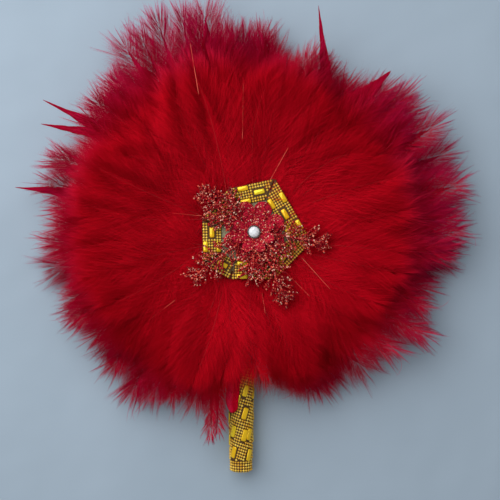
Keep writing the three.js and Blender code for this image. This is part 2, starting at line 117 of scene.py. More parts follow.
def solid_levels(tree, plan, start_height):
    """Middle height and half thickness of a closed solid at each plan point.

    Past the solid's edge the last ones go on.
    """
    far = 1.0
    middle = start_height
    half = MM
    levels = []
    for x, y in plan:
        top = tree.ray_cast(Vector((x, y, far)), Vector((0, 0, -1)))[0]
        bottom = tree.ray_cast(Vector((x, y, -far)), Vector((0, 0, 1)))[0]
        if top is not None and bottom is not None:
            middle = (top.z + bottom.z) / 2
            half = (top.z - bottom.z) / 2
        levels.append((middle, half))
    return np.array(levels).T


def solid_tree(name):
    """The faces of a CAD node, for rays to meet."""
    return BVHTree.FromObject(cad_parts[name], bpy.context.evaluated_depsgraph_get())


class Soup:
    """Collects the triangles of one piece, with a tone and a fade for each point.

    Tone and fade are also a point's place on the palette map, where its column sets it apart from the others.
    """

    def __init__(self):
        self.parts = []
        self.count = 0

    def add(self, points, triangles, tones=0.5, fades=0.5, columns=0.0, material=0):
        values = [np.broadcast_to(value, len(points)) for value in (tones, fades, columns)]
        self.parts.append((points, triangles + self.count, np.full(len(triangles), material), *values))
        self.count += len(points)

    def piece(self, name, nodes, materials, smooth=True, palette_map=False):
        """Makes the piece, lets it stand for its CAD nodes and rides it on the fan's one body."""
        parts = (np.concatenate(part) for part in zip(*self.parts))
        points, triangles, indices, tones, fades, columns = parts
        mesh = bpy.data.meshes.new(name)
        mesh.vertices.add(len(points))
        mesh.vertices.foreach_set("co", points.ravel().astype(np.float32))
        mesh.loops.add(triangles.size)
        mesh.loops.foreach_set("vertex_index", triangles.ravel().astype(np.int32))
        mesh.polygons.add(len(triangles))
        mesh.polygons.foreach_set("loop_start", np.arange(0, triangles.size, 3, dtype=np.int32))
        mesh.polygons.foreach_set("material_index", indices.astype(np.int32))
        mesh.update(calc_edges=True)
        mesh.validate()
        mesh.polygons.foreach_set("use_smooth", np.full(len(mesh.polygons), smooth))
        for label, values in (("tone", tones), ("fade", fades)):
            layer = mesh.attributes.new(label, "FLOAT", "POINT")
            layer.data.foreach_set("value", values.astype(np.float32))
        if palette_map:
            column = np.clip(tones, PALETTE_EDGE, 1 - PALETTE_EDGE) + columns
            row = np.clip(fades, PALETTE_EDGE, 1 - PALETTE_EDGE)
            corner_map = np.stack([column, row], axis=1)[triangles.ravel()]
            layer = mesh.uv_layers.new(name="OFBake")
            layer.data.foreach_set("uv", corner_map.ravel().astype(np.float32))
        for material in materials:
            mesh.materials.append(material)
        made = bpy.data.objects.new(name, mesh)
        bpy.context.scene.collection.objects.link(made)
        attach(made, "root")
        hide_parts(*nodes)


# Shapes that are used many times

HAIR_CORNERS = 3
# The corners of a hair lie this far apart on the palette map.
HAIR_COLUMN = 0.006


def ring_faces(first, rings, corners):
    """The sides between rings of points that are stacked on one another."""
    faces = []
    for ring in range(rings - 1):
        for corner in range(corners):
            here = first + ring * corners + corner
            beside = first + ring * corners + (corner + 1) % corners
            faces.append((here, beside, beside + corners))
            faces.append((here, beside + corners, here + corners))
    return faces


def cone_faces(first, corners, tip):
    """The sides from a ring of points to a tip above it."""
    return [(first + corner, first + (corner + 1) % corners, tip) for corner in range(corners)]


def flat_ends(rings, corners):
    """The flat faces under the first and over the last of stacked rings."""
    top = (rings - 1) * corners
    faces = []
    for corner in range(1, corners - 1):
        faces += [(0, corner + 1, corner), (top, top + corner, top + corner + 1)]
    return faces


def hair_triangles(steps):
    """Triangles of one closed hair: a base, sides and a point."""
    last = (steps - 2) * HAIR_CORNERS
    sides = ring_faces(0, steps - 1, HAIR_CORNERS)
    return np.array([(0, 2, 1)] + sides + cone_faces(last, HAIR_CORNERS, last + HAIR_CORNERS))


def add_hairs(soup, paths, radii, tones, fades, material=0):
    """Adds closed hairs along rows of points. Tones are one a hair, radii and fades one a point."""
    count, steps = paths.shape[:2]
    radii, fades = (np.broadcast_to(values, (count, steps)) for values in (radii, fades))
    tangents = np.gradient(paths, axis=1)
    sides = unit(np.cross(UP, tangents) + 1e-9)
    lifts = unit(np.cross(tangents, sides))
    rings = []
    for corner in range(HAIR_CORNERS):
        turn = FULL_TURN * corner / HAIR_CORNERS
        rings.append(paths + radii[..., None] * (math.cos(turn) * sides + math.sin(turn) * lifts))
    rings = np.stack(rings, axis=2)[:, :-1]
    points = np.concatenate([rings.reshape(count, -1, 3), paths[:, -1:]], axis=1)
    per_hair = points.shape[1]
    shift = np.arange(count)[:, None, None] * per_hair
    triangles = (hair_triangles(steps)[None] + shift).reshape(-1, 3)
    point_fades = np.concatenate([np.repeat(fades[:, :-1], HAIR_CORNERS, axis=1), fades[:, -1:]], axis=1)
    columns = np.concatenate([np.tile([-HAIR_COLUMN, 0.0, HAIR_COLUMN], steps - 1), [0.0]])
    point_tones = np.repeat(np.broadcast_to(tones, count), per_hair)
    columns = np.tile(columns, count)
    soup.add(points.reshape(-1, 3), triangles, point_tones, point_fades.ravel(), columns, material)


def add_stamps(soup, shape, centers, frames, sizes=1.0, tones=0.5, material=0):
    """Adds copies of a small shape, one on each centre, turned to its own three axes."""
    points, triangles = shape
    local = points[None] * np.broadcast_to(sizes, (len(centers), 3))[:, None]
    placed = centers[:, None] + np.einsum("mpi,mij->mpj", local, frames)
    shift = np.arange(len(centers))[:, None, None] * len(points)
    point_tones = np.repeat(np.broadcast_to(tones, len(centers)), len(points))
    soup.add(placed.reshape(-1, 3), (triangles[None] + shift).reshape(-1, 3), point_tones, material=material)


def lathe_shape(profile, corners, pinch=1.0):
    """A closed turned shape from (radius, height) pairs that run from the axis below to the axis above.

    Every second corner can be pinched in towards the axis.
    """
    points = [(0.0, 0.0, profile[0][1])]
    for radius, height in profile[1:-1]:
        for corner in range(corners):
            turn = corner * FULL_TURN / corners
            reach = radius * (pinch if corner % 2 else 1.0)
            points.append((reach * math.cos(turn), reach * math.sin(turn), height))
    points.append((0.0, 0.0, profile[-1][1]))
    rings = len(profile) - 2
    last = 1 + (rings - 1) * corners
    faces = [face[::-1] for face in cone_faces(1, corners, 0)]
    faces += ring_faces(1, rings, corners) + cone_faces(last, corners, last + corners)
    return np.array(points), np.array(faces)


def add_sheet(soup, low, high, tones=0.5, fades=0.5):
    """Adds a closed sheet between two grids of points, the lower one first."""
    rows, columns = low.shape[:2]
    up = rows * columns
    number = np.arange(up).reshape(rows, columns)
    a, b = number[:-1, :-1].ravel(), number[1:, :-1].ravel()
    c, d = number[1:, 1:].ravel(), number[:-1, 1:].ravel()
    top = np.concatenate([np.stack([a, b, c], 1), np.stack([a, c, d], 1)]) + up
    bottom = np.concatenate([np.stack([a, c, b], 1), np.stack([a, d, c], 1)])
    rim = np.concatenate([number[:, 0], number[-1, 1:], number[-2::-1, -1], number[0, -2:0:-1]])
    after = np.roll(rim, -1)
    sides = np.concatenate([np.stack([rim, after, after + up], 1), np.stack([rim, after + up, rim + up], 1)])
    points = np.concatenate([low.reshape(-1, 3), high.reshape(-1, 3)])
    tones, fades = (np.tile(np.broadcast_to(values, (rows, columns)).ravel(), 2) for values in (tones, fades))
    soup.add(points, np.concatenate([top, bottom, sides]), tones, fades)


# Materials

def new_material(name, roughness, metallic=0.0, specular=0.5, sheen=0.0, coat=0.0):
    material = bpy.data.materials.new(name)
    material.use_nodes = True
    tree = material.node_tree
    shader = tree.nodes["Principled BSDF"]
    finish = {
        "Roughness": roughness, "Metallic": metallic, "Specular IOR Level": specular,
        "Sheen Weight": sheen, "Coat Weight": coat,
    }
    for label, value in finish.items():
        shader.inputs[label].default_value = value
    return material, tree, shader


def value_of(tree, label):
    """A shading value that the mesh carries."""
    node = tree.nodes.new("ShaderNodeAttribute")
    node.attribute_name = label
    return node.outputs["Fac"]


def color_ramp(tree, factor, stops):
    node = tree.nodes.new("ShaderNodeValToRGB")
    elements = node.color_ramp.elements
    while len(elements) < len(stops):
        elements.new(1.0)
    for element, (position, color) in zip(elements, stops):
        element.position = position
        element.color = (*color, 1.0)
    tree.links.new(factor, node.inputs["Fac"])
    return node.outputs["Color"]


def color_mix(tree, factor, first, second, blend="MIX"):
    node = tree.nodes.new("ShaderNodeMix")
    node.data_type = "RGBA"
    node.blend_type = blend
    colors = [socket for socket in node.inputs if socket.type == "RGBA"]
    if isinstance(factor, float):
        node.inputs[0].default_value = factor
    else:
        tree.links.new(factor, node.inputs[0])
    for socket, color in zip(colors, (first, second)):
        tree.links.new(color, socket)
    return [socket for socket in node.outputs if socket.type == "RGBA"][0]


def noise(tree, scale, detail=4.0, stretch=(1.0, 1.0, 1.0)):
    """Noise in the fan's own frame, with its scale in lumps a metre."""
    place = tree.nodes.new("ShaderNodeTexCoord")
    mapping = tree.nodes.new("ShaderNodeMapping")
    mapping.inputs["Scale"].default_value = stretch
    node = tree.nodes.new("ShaderNodeTexNoise")
    node.inputs["Scale"].default_value = scale
    node.inputs["Detail"].default_value = detail
    tree.links.new(place.outputs["Object"], mapping.inputs["Vector"])
    tree.links.new(mapping.outputs["Vector"], node.inputs["Vector"])
    return node.outputs["Fac"]


def add_bump(tree, shader, grain, depth, strength=1.0):
    node = tree.nodes.new("ShaderNodeBump")
    node.inputs["Distance"].default_value = depth
    node.inputs["Strength"].default_value = strength
    tree.links.new(noise(tree, *grain), node.inputs["Height"])
    tree.links.new(node.outputs["Normal"], shader.inputs["Normal"])


def range_map(tree, factor, low, high):
    node = tree.nodes.new("ShaderNodeMapRange")
    node.inputs["To Min"].default_value = low
    node.inputs["To Max"].default_value = high
    tree.links.new(factor, node.inputs["Value"])
    return node.outputs["Result"]


def ramp_material(name, stops, grain=None, bump=None, **finish):
    """A material with one ramp of colours, over its grain or else over the tones that the mesh carries.

    The grain is the scale, detail and stretch of its noise. The bump is a grain, its depth and its strength.
    """
    material, tree, shader = new_material(name, **finish)
    factor = noise(tree, *grain) if grain else value_of(tree, "tone")
    tree.links.new(color_ramp(tree, factor, stops), shader.inputs["Base Color"])
    if bump:
        add_bump(tree, shader, *bump)
    return material


def feather_material():
    """Dyed down: crimson at the roots, more magenta at the thin ends."""
    material, tree, shader = new_material("dyed_feather", 0.8, specular=0.02)
    tone = value_of(tree, "tone")
    inner = color_ramp(tree, tone, [
        (0.0, (0.220, 0.0005, 0.0050)), (0.5, (0.570, 0.0014, 0.0110)), (1.0, (0.840, 0.0060, 0.0220)),
    ])
    outer = color_ramp(tree, tone, [
        (0.0, (0.170, 0.0020, 0.0350)), (0.5, (0.490, 0.0090, 0.1280)), (1.0, (0.760, 0.0700, 0.2700)),
    ])
    tree.links.new(color_mix(tree, value_of(tree, "fade"), inner, outer), shader.inputs["Base Color"])
    return material


def gold_material(name, dark, bright, roughness, metallic):
    """Worn gilt, a little different from bead to bead."""
    material, tree, shader = new_material(name, roughness, metallic)
    tone = color_ramp(tree, value_of(tree, "tone"), [(0.0, dark), (1.0, bright)])
    wear = color_ramp(tree, noise(tree, 900.0), [(0.35, (0.90, 0.84, 0.70)), (0.6, (1.0, 1.0, 1.0))])
    tree.links.new(color_mix(tree, 1.0, tone, wear, "MULTIPLY"), shader.inputs["Base Color"])
    rubbed = range_map(tree, noise(tree, 1400.0), roughness * 0.7, roughness * 1.4)
    tree.links.new(rubbed, shader.inputs["Roughness"])
    return material


def felt_material(name, dark, bright):
    """Short matted fibres."""
    stops = [(0.3, dark), (0.7, bright)]
    bump = ([1800.0, 8.0], 0.3 * MM)
    return ramp_material(name, stops, [700.0, 8.0], bump, roughness=0.9, specular=0.2, sheen=0.2)


FEATHER = feather_material()
BEAD = gold_material("gold_bead", (0.78, 0.40, 0.015), (1.00, 0.74, 0.120), 0.26, 0.15)
BAR = gold_material("gold_bar", (1.00, 0.58, 0.004), (1.00, 0.76, 0.020), 0.14, 0.32)
PAD_FELT = felt_material("khaki_felt", (0.22, 0.20, 0.105), (0.42, 0.40, 0.25))
COVER_FELT = felt_material("red_felt", (0.085, 0.004, 0.008), (0.20, 0.010, 0.018))
THREAD = felt_material("dark_thread", (0.05, 0.003, 0.005), (0.10, 0.006, 0.010))

# The pale, faintly dyed shaft of a feather
QUILL = ramp_material(
    "dyed_quill", [(0.0, (0.40, 0.004, 0.012)), (1.0, (0.95, 0.15, 0.10))],
    roughness=0.5, specular=0.15,
)
# The dark ground under the beads
GROUND = ramp_material(
    "trim_ground", [(0.3, (0.040, 0.015, 0.002)), (0.7, (0.130, 0.052, 0.004))],
    [1600.0], ([2400.0], 0.2 * MM), roughness=0.7, metallic=0.2,
)
# Stamped burgundy cloth, with fine dust of glitter in it
PETAL = ramp_material(
    "stamped_petal",
    [(0.36, (0.300, 0.003, 0.022)), (0.55, (0.530, 0.007, 0.034)), (0.70, (0.820, 0.050, 0.056))],
    [1500.0, 6.0], ([2600.0, 6.0], 0.25 * MM), roughness=0.5, specular=0.06,
)
# Flakes of copper-red foil, from dark to bright red, and pink to nearly white ones that are painted glints
GLITTER_PAINTED_GLINTS = ramp_material(
    "glitter_flake_painted_glints", [
        (0.0, (0.200, 0.002, 0.010)), (0.38, (0.580, 0.010, 0.020)), (0.62, (1.000, 0.120, 0.070)),
        (0.80, (1.000, 0.330, 0.200)), (1.0, (1.000, 0.620, 0.470)),
    ], roughness=0.35, specular=0.12,
)
# Pale turned dowel with its grain along the handle
WOOD_GRAIN = [300.0, 6.0, (4.0, 0.15, 4.0)]
WOOD = ramp_material(
    "dowel_wood", [(0.3, (0.30, 0.17, 0.07)), (0.7, (0.58, 0.39, 0.20))],
    WOOD_GRAIN, (WOOD_GRAIN, 0.2 * MM), roughness=0.55,
)
# Board with a fibrous face, dyed red like the feathers
HUB_BOARD = ramp_material(
    "hub_board", [(0.3, (0.14, 0.004, 0.008)), (0.7, (0.26, 0.008, 0.014))],
    [900.0, 8.0], ([1500.0, 8.0], 0.15 * MM), roughness=0.85, specular=0.2,
)
# White cut stone with faintly grey facets
STONE = ramp_material(
    "white_stone", [(0.0, (0.42, 0.45, 0.50)), (1.0, (0.95, 0.96, 0.98))],
    roughness=0.08, coat=0.6,
)
# Tarnished plated metal round the stone
SETTING = ramp_material(
    "stone_setting_metal", [(0.3, (0.05, 0.035, 0.03)), (0.7, (0.22, 0.18, 0.16))],
    [1200.0], roughness=0.3, metallic=0.9,
)
# Plain pale blue-grey cloth with broad soft wrinkles
BACKDROP = ramp_material(
    "backdrop_cloth", [(0.3, (0.345, 0.425, 0.505)), (0.7, (0.375, 0.455, 0.540))],
    [5.0, 3.0], ([11.0, 2.0], 9 * MM, 0.5), roughness=0.9, specular=0.1,
)


# Feathers

SPINE_STEPS = 18
# How soon a shaft has reached its place in the bunch, and how far its tip bends aside
SPINE_FLARE = 1.7
SPINE_BEND = 5 * MM
QUILL_RADIUS = 0.4 * MM
QUILL_TAPER = 0.8
QUILL_TONES = (0.0, 0.12)
# How far from the hub the down starts, and how far it reaches past the end of the shaft
DOWN_START = 30 * MM
OVERHANG = 15 * MM
# Loose down keeps off the ground, and under a ceiling a little over the solids.
FLOOR_GAP = 0.4 * MM
CEILING = cad_box[1][2] + 8 * MM
# The down turns magenta from the first to the second of these distances from the hub.
RIM_START = 135 * MM
RIM_END = 200 * MM
# Painted light and shade on the down by distance from the hub: lighter near it, where it is shaded, darker
# out
PAINTED_SHADING_PLACES = [50 * MM, 105 * MM, 150 * MM, 190 * MM]
PAINTED_SHADING_STEPS = [0.21, -0.14, -0.14, 0.0]
# Along a feather, from where its down starts to its tip: barb length, lean from the shaft and loose rise
PLACES = [0.0, 0.3, 0.7, 0.92, 1.0]
BARB_LENGTHS = [36 * MM, 42 * MM, 38 * MM, 30 * MM, 22 * MM]
BARB_LEANS = [64.0, 46.0, 38.0, 30.0, 14.0]
BARB_RISES = [9.0, 7.0, 6.0, 6.0, 6.0]
# The shares of its lean and of its rise that a barb has lost at its end
BARB_BEND = 0.45
BARB_SINK = 0.4
# Slow random changes along a feather: of lean, of rise and of size
WANDER_STEPS = 9
WANDERS = (5.0, 0.5, 0.08)
LEAN_WANDER = 0.012
# The wander of the lean dies away over this last share of the feather.
WANDER_END = 0.25
# How much loose barbs differ from one another
BARB_SPREADS = {"length": 0.14, "lean": 7.5, "rise": 0.9, "bend": 0.3}
LENGTH_LIMIT = 0.3
# The web that the barbs make where they hook together. On a loose feather it stays near the shaft, sunk in
# the down. On a blade it goes out to the ends of the barbs.
WEB_ROW_GAP = 1.3 * MM
WEB_THICKNESS = 0.25 * MM
WEB_TAPER = [0.35, 1.0]
WEB_TONE_SPREAD = 0.025
WEB_FADE = 0.4
# The shares of the barbs that it covers, how ragged its edge is, how much its barbs differ, what is left of
# its width at the tip, how much painted shade darkens it below the down and how far it has sunk
LOOSE_WEB = {
    "shares": [0.0, 0.11, 0.22, 0.33], "ragged": (0.6, 1.1), "loose": 0.3,
    "tip": 0.1, "painted_shading": 0.48, "drop": 2.2 * MM,
}
BLADE_WEB = {
    "shares": [0.0, 0.35, 0.7, 1.0], "ragged": (0.94, 1.0), "loose": 0.05,
    "tip": 0.65, "painted_shading": 0.1, "drop": 0.0,
}
HAIR_SPACING = 0.15 * MM
HAIR_RADIUS = 0.095 * MM
HAIR_TAPER = 0.65
HAIR_STEPS = np.array([0.0, 0.5, 1.0])
HAIR_PATH_STEPS = 9
HAIR_ROOT_FADE = 0.2
# Hairs crowd towards the tip of a feather, and each one starts somewhere on the first half of its barb.
HAIR_CROWDING = 0.8
HAIR_LAST_PLACE = 1.01
HAIR_STARTS = (0.0, 0.5)
HAIR_SIZES = (0.8, 1.2)
# Mean and spread of what a hair's tone adds to its feather's
HAIR_TONES = (0.02, 0.07)
WISP_TONES = (0.05, 0.08)
# Near the fan's rim some hairs keep together in clumps, and the others stay short.
HAIR_CLUMP = 9
CLUMP_SHARE = 0.4
CLUMP_HOLD = 0.88
CLUMP_PLACES = [0.55, 0.85]
CLUMP_DISTANCES = [105 * MM, 140 * MM]
SHORT_HAIR = 0.74
# Long single barbs curl out past the rim. Their lengths are in millimetres.
WISPS = 8
WISP_STEPS = 8
WISP_RADIUS = 0.18 * MM
WISP_LENGTHS = (24, 38)
WISP_FIRST_PLACE = 0.75
WISP_TURN = 0.35
WISP_CURL = 1.6
# Kinds of feather: barb size, lean and taper, and whether it is a blade
FEATHER_KINDS = {
    "down": (1.0, 1.0, 0.0, False),
    "slim": (0.45, 1.0, 0.0, False),
    "blade": (0.22, 0.85, 0.70, True),
    "broad": (0.6, 0.8, 0.75, True),
}
BLADE_TONE = 0.22
# How high a single feather lies in its bunch, and how low a blade's foot, in shares of the half thickness
STRAY_LIFT = 0.3
BLADE_FOOT = -1.6
# The tones of a single feather's quill and of a bare one
STRAY_QUILL_TONE = 0.1
SHOWN_QUILL_TONE = 0.8
SHOWN_QUILL_TAPER = 0.5
SHOWN_QUILL_LIFT = 0.8 * MM

# Each ring of plumes: how many plumes and feathers in a bunch, and how bright its down is
PLUME_RINGS = {
    "back": (7, 6, 0.54),
    "middle": (9, 5, 0.58),
    "outer": (10, 5, 0.62),
    # Painted light: the inner ring's down is brighter, against the shade of the trim and ornament near the
    # hub
    "inner": (8, 5, 0.79),
}
# How far the feathers of a bunch spread to the sides and in height, as shares of the plume's half sizes
BUNCH_SPREAD = 0.78
BUNCH_LIFT = 0.55
# How much the feathers of a bunch differ in place, tone and roll in degrees
PLACE_SPREAD = 0.05
TONE_SPREAD = 0.09
ROLL_SPREAD = 4.0
# A feather reaches as far as the points of its plume, less this much for each step that they lie to its side.
BUNCH_ROUNDING = 0.9
# The feathers part over the handle: how far down it they reach, how far to each side that holds, and how much
# longer they may be for each step away from it
HANDLE_COVER = 111 * MM
HANDLE_LANE = 14 * MM
HANDLE_SLOPE = 1.2
# Single feathers that stand out: the plume that carries each one, the angle and distance of its foot and of
# its tip round the hub, in degrees and millimetres, and its kind
STRAYS = [
    ("outer_plume_5", (58.5, 140), (71.0, 200), "blade"),
    ("outer_plume_4", (49.0, 118), (47.0, 183), "broad"),
    ("outer_plume_7", (143.0, 140), (146.3, 199), "blade"),
    ("outer_plume_7", (144.5, 140), (151.6, 190), "blade"),
    ("middle_plume_7", (166.5, 140), (168.8, 195), "blade"),
    ("middle_plume_6", (119.0, 100), (122.0, 198), "down"),
    ("outer_plume_4", (29.0, 100), (28.5, 197), "down"),
    ("middle_plume_3", (20.0, 100), (21.0, 198), "down"),
    ("outer_plume_3", (9.0, 100), (12.0, 198), "down"),
    ("outer_plume_6", (101.0, 110), (99.5, 198), "down"),
    ("back_plume_6", (188.0, 100), (190.5, 176), "down"),
    ("outer_plume_10", (253.0, 80), (261.6, 179), "slim"),
    ("outer_plume_10", (256.0, 90), (263.3, 173), "slim"),
    ("middle_plume_1", (309.0, 90), (312.0, 166), "down"),
    ("back_plume_2", (351.0, 110), (352.0, 190), "down"),
]
# Bare quills that show on the face: the angle and distance of both ends
SHOWN_QUILLS = [
    ((89.0, 78), (89.0, 125)),
    ((60.6, 47), (60.6, 82)),
    ((226.0, 80), (223.7, 109)),
    ((107.0, 119), (105.0, 162)),
    ((318.0, 51), (316.8, 80)),
    ((289.0, 55), (286.5, 72)),
    ((337.0, 56), (327.0, 90)),
    ((157.7, 36), (164.5, 60)),
]


class Feather:
    """One feather: its shaft, and the way its barbs leave the shaft on each side."""

    def __init__(self, rng, spine, tone, size=1.0, lean=1.0, taper=0.0, roll=0.0):
        self.rng = rng
        self.spine = spine
        self.tone = tone
        self.size = size
        self.lean = lean
        self.taper = taper
        self.roll = roll
        self.length = np.linalg.norm(np.diff(spine, axis=0), axis=1).sum()
        self.wanders = {
            side: [rng.normal(0, spread, WANDER_STEPS) for spread in WANDERS] for side in (1, -1)
        }

    def along(self, place, values):
        steps = np.linspace(0, 1, len(self.spine))
        return np.stack([np.interp(place, steps, values[:, axis]) for axis in range(3)], axis=1)

    def headings(self, place):
        """The way along the shaft at the given places, and the way off to its left."""
        forward = unit(self.along(place, np.gradient(self.spine, axis=0)))
        return forward, unit(np.cross(UP, forward))

    def barbs(self, side, place, shares, loose, clump=1):
        """Paths of barbs that leave the shaft at the given places, at the given shares of their length.

        Loose barbs differ, but near the fan's rim some keep together in clumps and reach past the others.
        """
        rng = self.rng
        count = len(place)
        roots = self.along(place, self.spine)
        together = np.zeros(count)
        reaches = np.ones(count)
        if clump > 1:
            near_rim = np.interp(place, CLUMP_PLACES, [0.0, 1.0])
            near_rim *= np.interp(np.hypot(roots[:, 0], roots[:, 1]), CLUMP_DISTANCES, [0.0, 1.0])
            clumped = np.repeat(rng.uniform(0, 1, count // clump + 1) < CLUMP_SHARE, clump)[:count]
            together = near_rim * clumped
            reaches = 1 - (1 - SHORT_HAIR) * near_rim * ~clumped

        def differ(trait):
            spread = BARB_SPREADS[trait]
            shared = np.repeat(rng.normal(0, spread, count // clump + 1), clump)[:count]
            own = rng.normal(0, spread, count)
            return loose * (together * shared + (1 - CLUMP_HOLD * together) * own)

        forward, outward = self.headings(place)
        outward = outward * side
        steps = np.linspace(0, 1, WANDER_STEPS)
        lean_drift, rise_drift, size_drift = (np.interp(place, steps, drift) for drift in self.wanders[side])
        lengths = np.interp(place, PLACES, BARB_LENGTHS) * self.size * (1 + size_drift)
        lengths *= 1 - self.taper * place
        lengths *= (1 + np.clip(differ("length"), -LENGTH_LIMIT, LENGTH_LIMIT)) * reaches
        lean = np.interp(place, PLACES, BARB_LEANS) * self.lean
        lean *= 1 + LEAN_WANDER * lean_drift * np.minimum(1.0, (1 - place) / WANDER_END)
        lean = np.radians(lean + differ("lean"))
        rise = np.radians(np.interp(place, PLACES, BARB_RISES))
        rise = rise * (rise_drift + differ("rise")) + side * math.radians(self.roll)
        bend = BARB_BEND + differ("bend")
        path = [roots]
        for before, after in zip(shares[:-1], shares[1:]):
            middle = (before + after) / 2
            turned = lean * (1 - bend * middle)
            lifted = rise * (1 - BARB_SINK * middle)
            flat = np.cos(turned)[:, None] * forward + np.sin(turned)[:, None] * outward
            step = flat * np.cos(lifted)[:, None] + UP * np.sin(lifted)[:, None]
            path.append(path[-1] + step * (lengths * (after - before))[:, None])
        return in_room(np.stack(path, axis=1))

    def add_web(self, soup, shares, ragged, loose, tip, painted_shading, drop):
        """Adds the closed part of the vane, with its rows along the barbs."""
        rows = int(self.length / WEB_ROW_GAP)
        place = np.linspace(0, 1, rows)
        edges = self.rng.uniform(*ragged, (2, rows)) * np.interp(place, WEB_TAPER, [1.0, tip])
        halves = []
        for side, edge in zip((1, -1), edges):
            half = self.barbs(side, place, shares, loose)
            root = half[:, :1]
            halves.append(root + (half - root) * edge[:, None, None])
        grid = np.concatenate([halves[0][:, :0:-1], halves[1]], axis=1)
        grid[..., 2] = np.maximum(grid[..., 2] - drop, FLOOR_GAP)
        # Painted shade: the web's rows are darker than their feather, standing in for the shadow of the down
        # over them
        tones = np.clip(self.tone - painted_shading + self.rng.normal(0, WEB_TONE_SPREAD, rows), 0, 1)
        half_web = UP * WEB_THICKNESS / 2
        add_sheet(soup, grid - half_web, grid + half_web, tones[:, None], WEB_FADE * rim_fade(grid))

    def add_hairs(self, soup):
        """Adds the loose ends of the barbs, and the down that stands off the web."""
        per_side = int(self.length / HAIR_SPACING)
        for side in (1, -1):
            place = np.clip(self.rng.uniform(0, HAIR_LAST_PLACE, per_side), 0, 1)
            place = np.sort(place ** HAIR_CROWDING)
            start = self.rng.uniform(*HAIR_STARTS, (per_side, 1))
            fine = self.barbs(side, place, np.linspace(0, 1, HAIR_PATH_STEPS), 1.0, HAIR_CLUMP)
            paths = sample_paths(fine, start + (1 - start) * HAIR_STEPS)
            radii = HAIR_RADIUS * (1 - HAIR_TAPER * HAIR_STEPS)
            radii = radii * self.rng.uniform(*HAIR_SIZES, (per_side, 1))
            distance = np.hypot(paths[:, 0, 0], paths[:, 0, 1])
            # Painted light and shade, by the distance of the hair's root from the hub
            painted_shading = np.interp(distance, PAINTED_SHADING_PLACES, PAINTED_SHADING_STEPS)
            tones = np.clip(self.tone + painted_shading + self.rng.normal(*HAIR_TONES, per_side), 0, 1)
            fades = rim_fade(paths) * (HAIR_ROOT_FADE + (1 - HAIR_ROOT_FADE) * HAIR_STEPS)
            add_hairs(soup, paths, radii, tones, fades)

    def add_wisps(self, soup):
        """Adds a few long barbs that leave the feather near its tip and curl away."""
        place = self.rng.uniform(WISP_FIRST_PLACE, 1.0, WISPS)
        forward, outward = self.headings(place)
        turns = self.rng.normal(0, WISP_TURN, WISPS)
        curls = self.rng.normal(0, WISP_CURL, WISPS)
        strides = self.rng.uniform(*WISP_LENGTHS, (WISPS, 1)) * MM / WISP_STEPS
        path = [self.along(place, self.spine)]
        for step in range(1, WISP_STEPS):
            heading = (turns + curls * (step / WISP_STEPS) ** 2)[:, None]
            path.append(path[-1] + strides * (np.cos(heading) * forward + np.sin(heading) * outward))
        paths = in_room(np.stack(path, axis=1))
        radii = WISP_RADIUS * np.linspace(1.0, 0.5, WISP_STEPS)
        tones = np.clip(self.tone + self.rng.normal(*WISP_TONES, WISPS), 0, 1)
        add_hairs(soup, paths, radii, tones, rim_fade(paths))

    def add_quill(self, soup, tone):
        """Adds the tapered shaft."""
        add_shaft(soup, self.spine, QUILL_RADIUS, QUILL_TAPER, tone)


def add_shaft(soup, path, radius, taper, tone):
    """Adds one quill that gets thinner along its path."""
    radii = radius * (1 - taper * np.linspace(0, 1, len(path)))
    add_hairs(soup, path[None], radii, tone, 0.0, material=1)


def in_room(paths):
    """The same paths, kept off the ground and under the top of the room for loose down."""
    paths[..., 2] = np.clip(paths[..., 2], FLOOR_GAP, CEILING)
    return paths


def rim_fade(points):
    """How far towards the magenta of the rim a point's colour goes."""
    distance = np.hypot(points[..., 0], points[..., 1])
    return np.clip((distance - RIM_START) / (RIM_END - RIM_START), 0, 1)


def sample_paths(paths, shares):
    """Points of evenly stepped paths at other shares of each path."""
    last = paths.shape[1] - 1
    spot = np.clip(shares * last, 0, last - 1e-6)
    before = spot.astype(int)
    rest = (spot - before)[..., None]
    row = np.arange(len(paths))[:, None]
    return paths[row, before] * (1 - rest) + paths[row, before + 1] * rest


def on_solid(tree, plan, root_height, lift, gap=0.0):
    """Points over a plan. A lift of 0 is the middle of the solid there and 1 is its top."""
    middle, half = solid_levels(tree, plan, root_height)
    return np.column_stack([plan, middle + lift * half + gap])


def feather_spine(axis, tree, root_height, reach, offset, lift, bend):
    """Points along a feather's shaft, from under the hub to its tip."""
    share = np.linspace(0.0, 1.0, SPINE_STEPS)
    along = DOWN_START + (reach - DOWN_START) * share
    across = offset * (1 - (1 - share) ** SPINE_FLARE) + bend * share ** 3
    plan = along[:, None] * axis + across[:, None] * np.array([-axis[1], axis[0]])
    return on_solid(tree, plan, root_height, lift)


def polar(place):
    """A plan point from an angle round the hub in degrees and a distance in millimetres."""
    angle, distance = place
    return distance * MM * np.array([math.cos(math.radians(angle)), math.sin(math.radians(angle))])


def straight(start, end):
    """Plan points on a straight line."""
    return start + (end - start) * np.linspace(0.0, 1.0, SPINE_STEPS)[:, None]


def add_stray(soup, rng, tree, root_height, foot, tip, kind, tone):
    """Adds a single feather that stands out of its bunch."""
    size, lean, taper, blade = FEATHER_KINDS[kind]
    end = polar(tip)
    if not blade:
        end = end * (1 - size * OVERHANG / np.hypot(*end))
    lift = np.linspace(BLADE_FOOT if blade else STRAY_LIFT, STRAY_LIFT, SPINE_STEPS)
    spine = on_solid(tree, straight(polar(foot), end), root_height, lift)
    feather = Feather(rng, spine, BLADE_TONE if blade else tone, size, lean, taper)
    feather.add_web(soup, **(BLADE_WEB if blade else LOOSE_WEB))
    if not blade:
        feather.add_hairs(soup)
    feather.add_quill(soup, STRAY_QUILL_TONE)


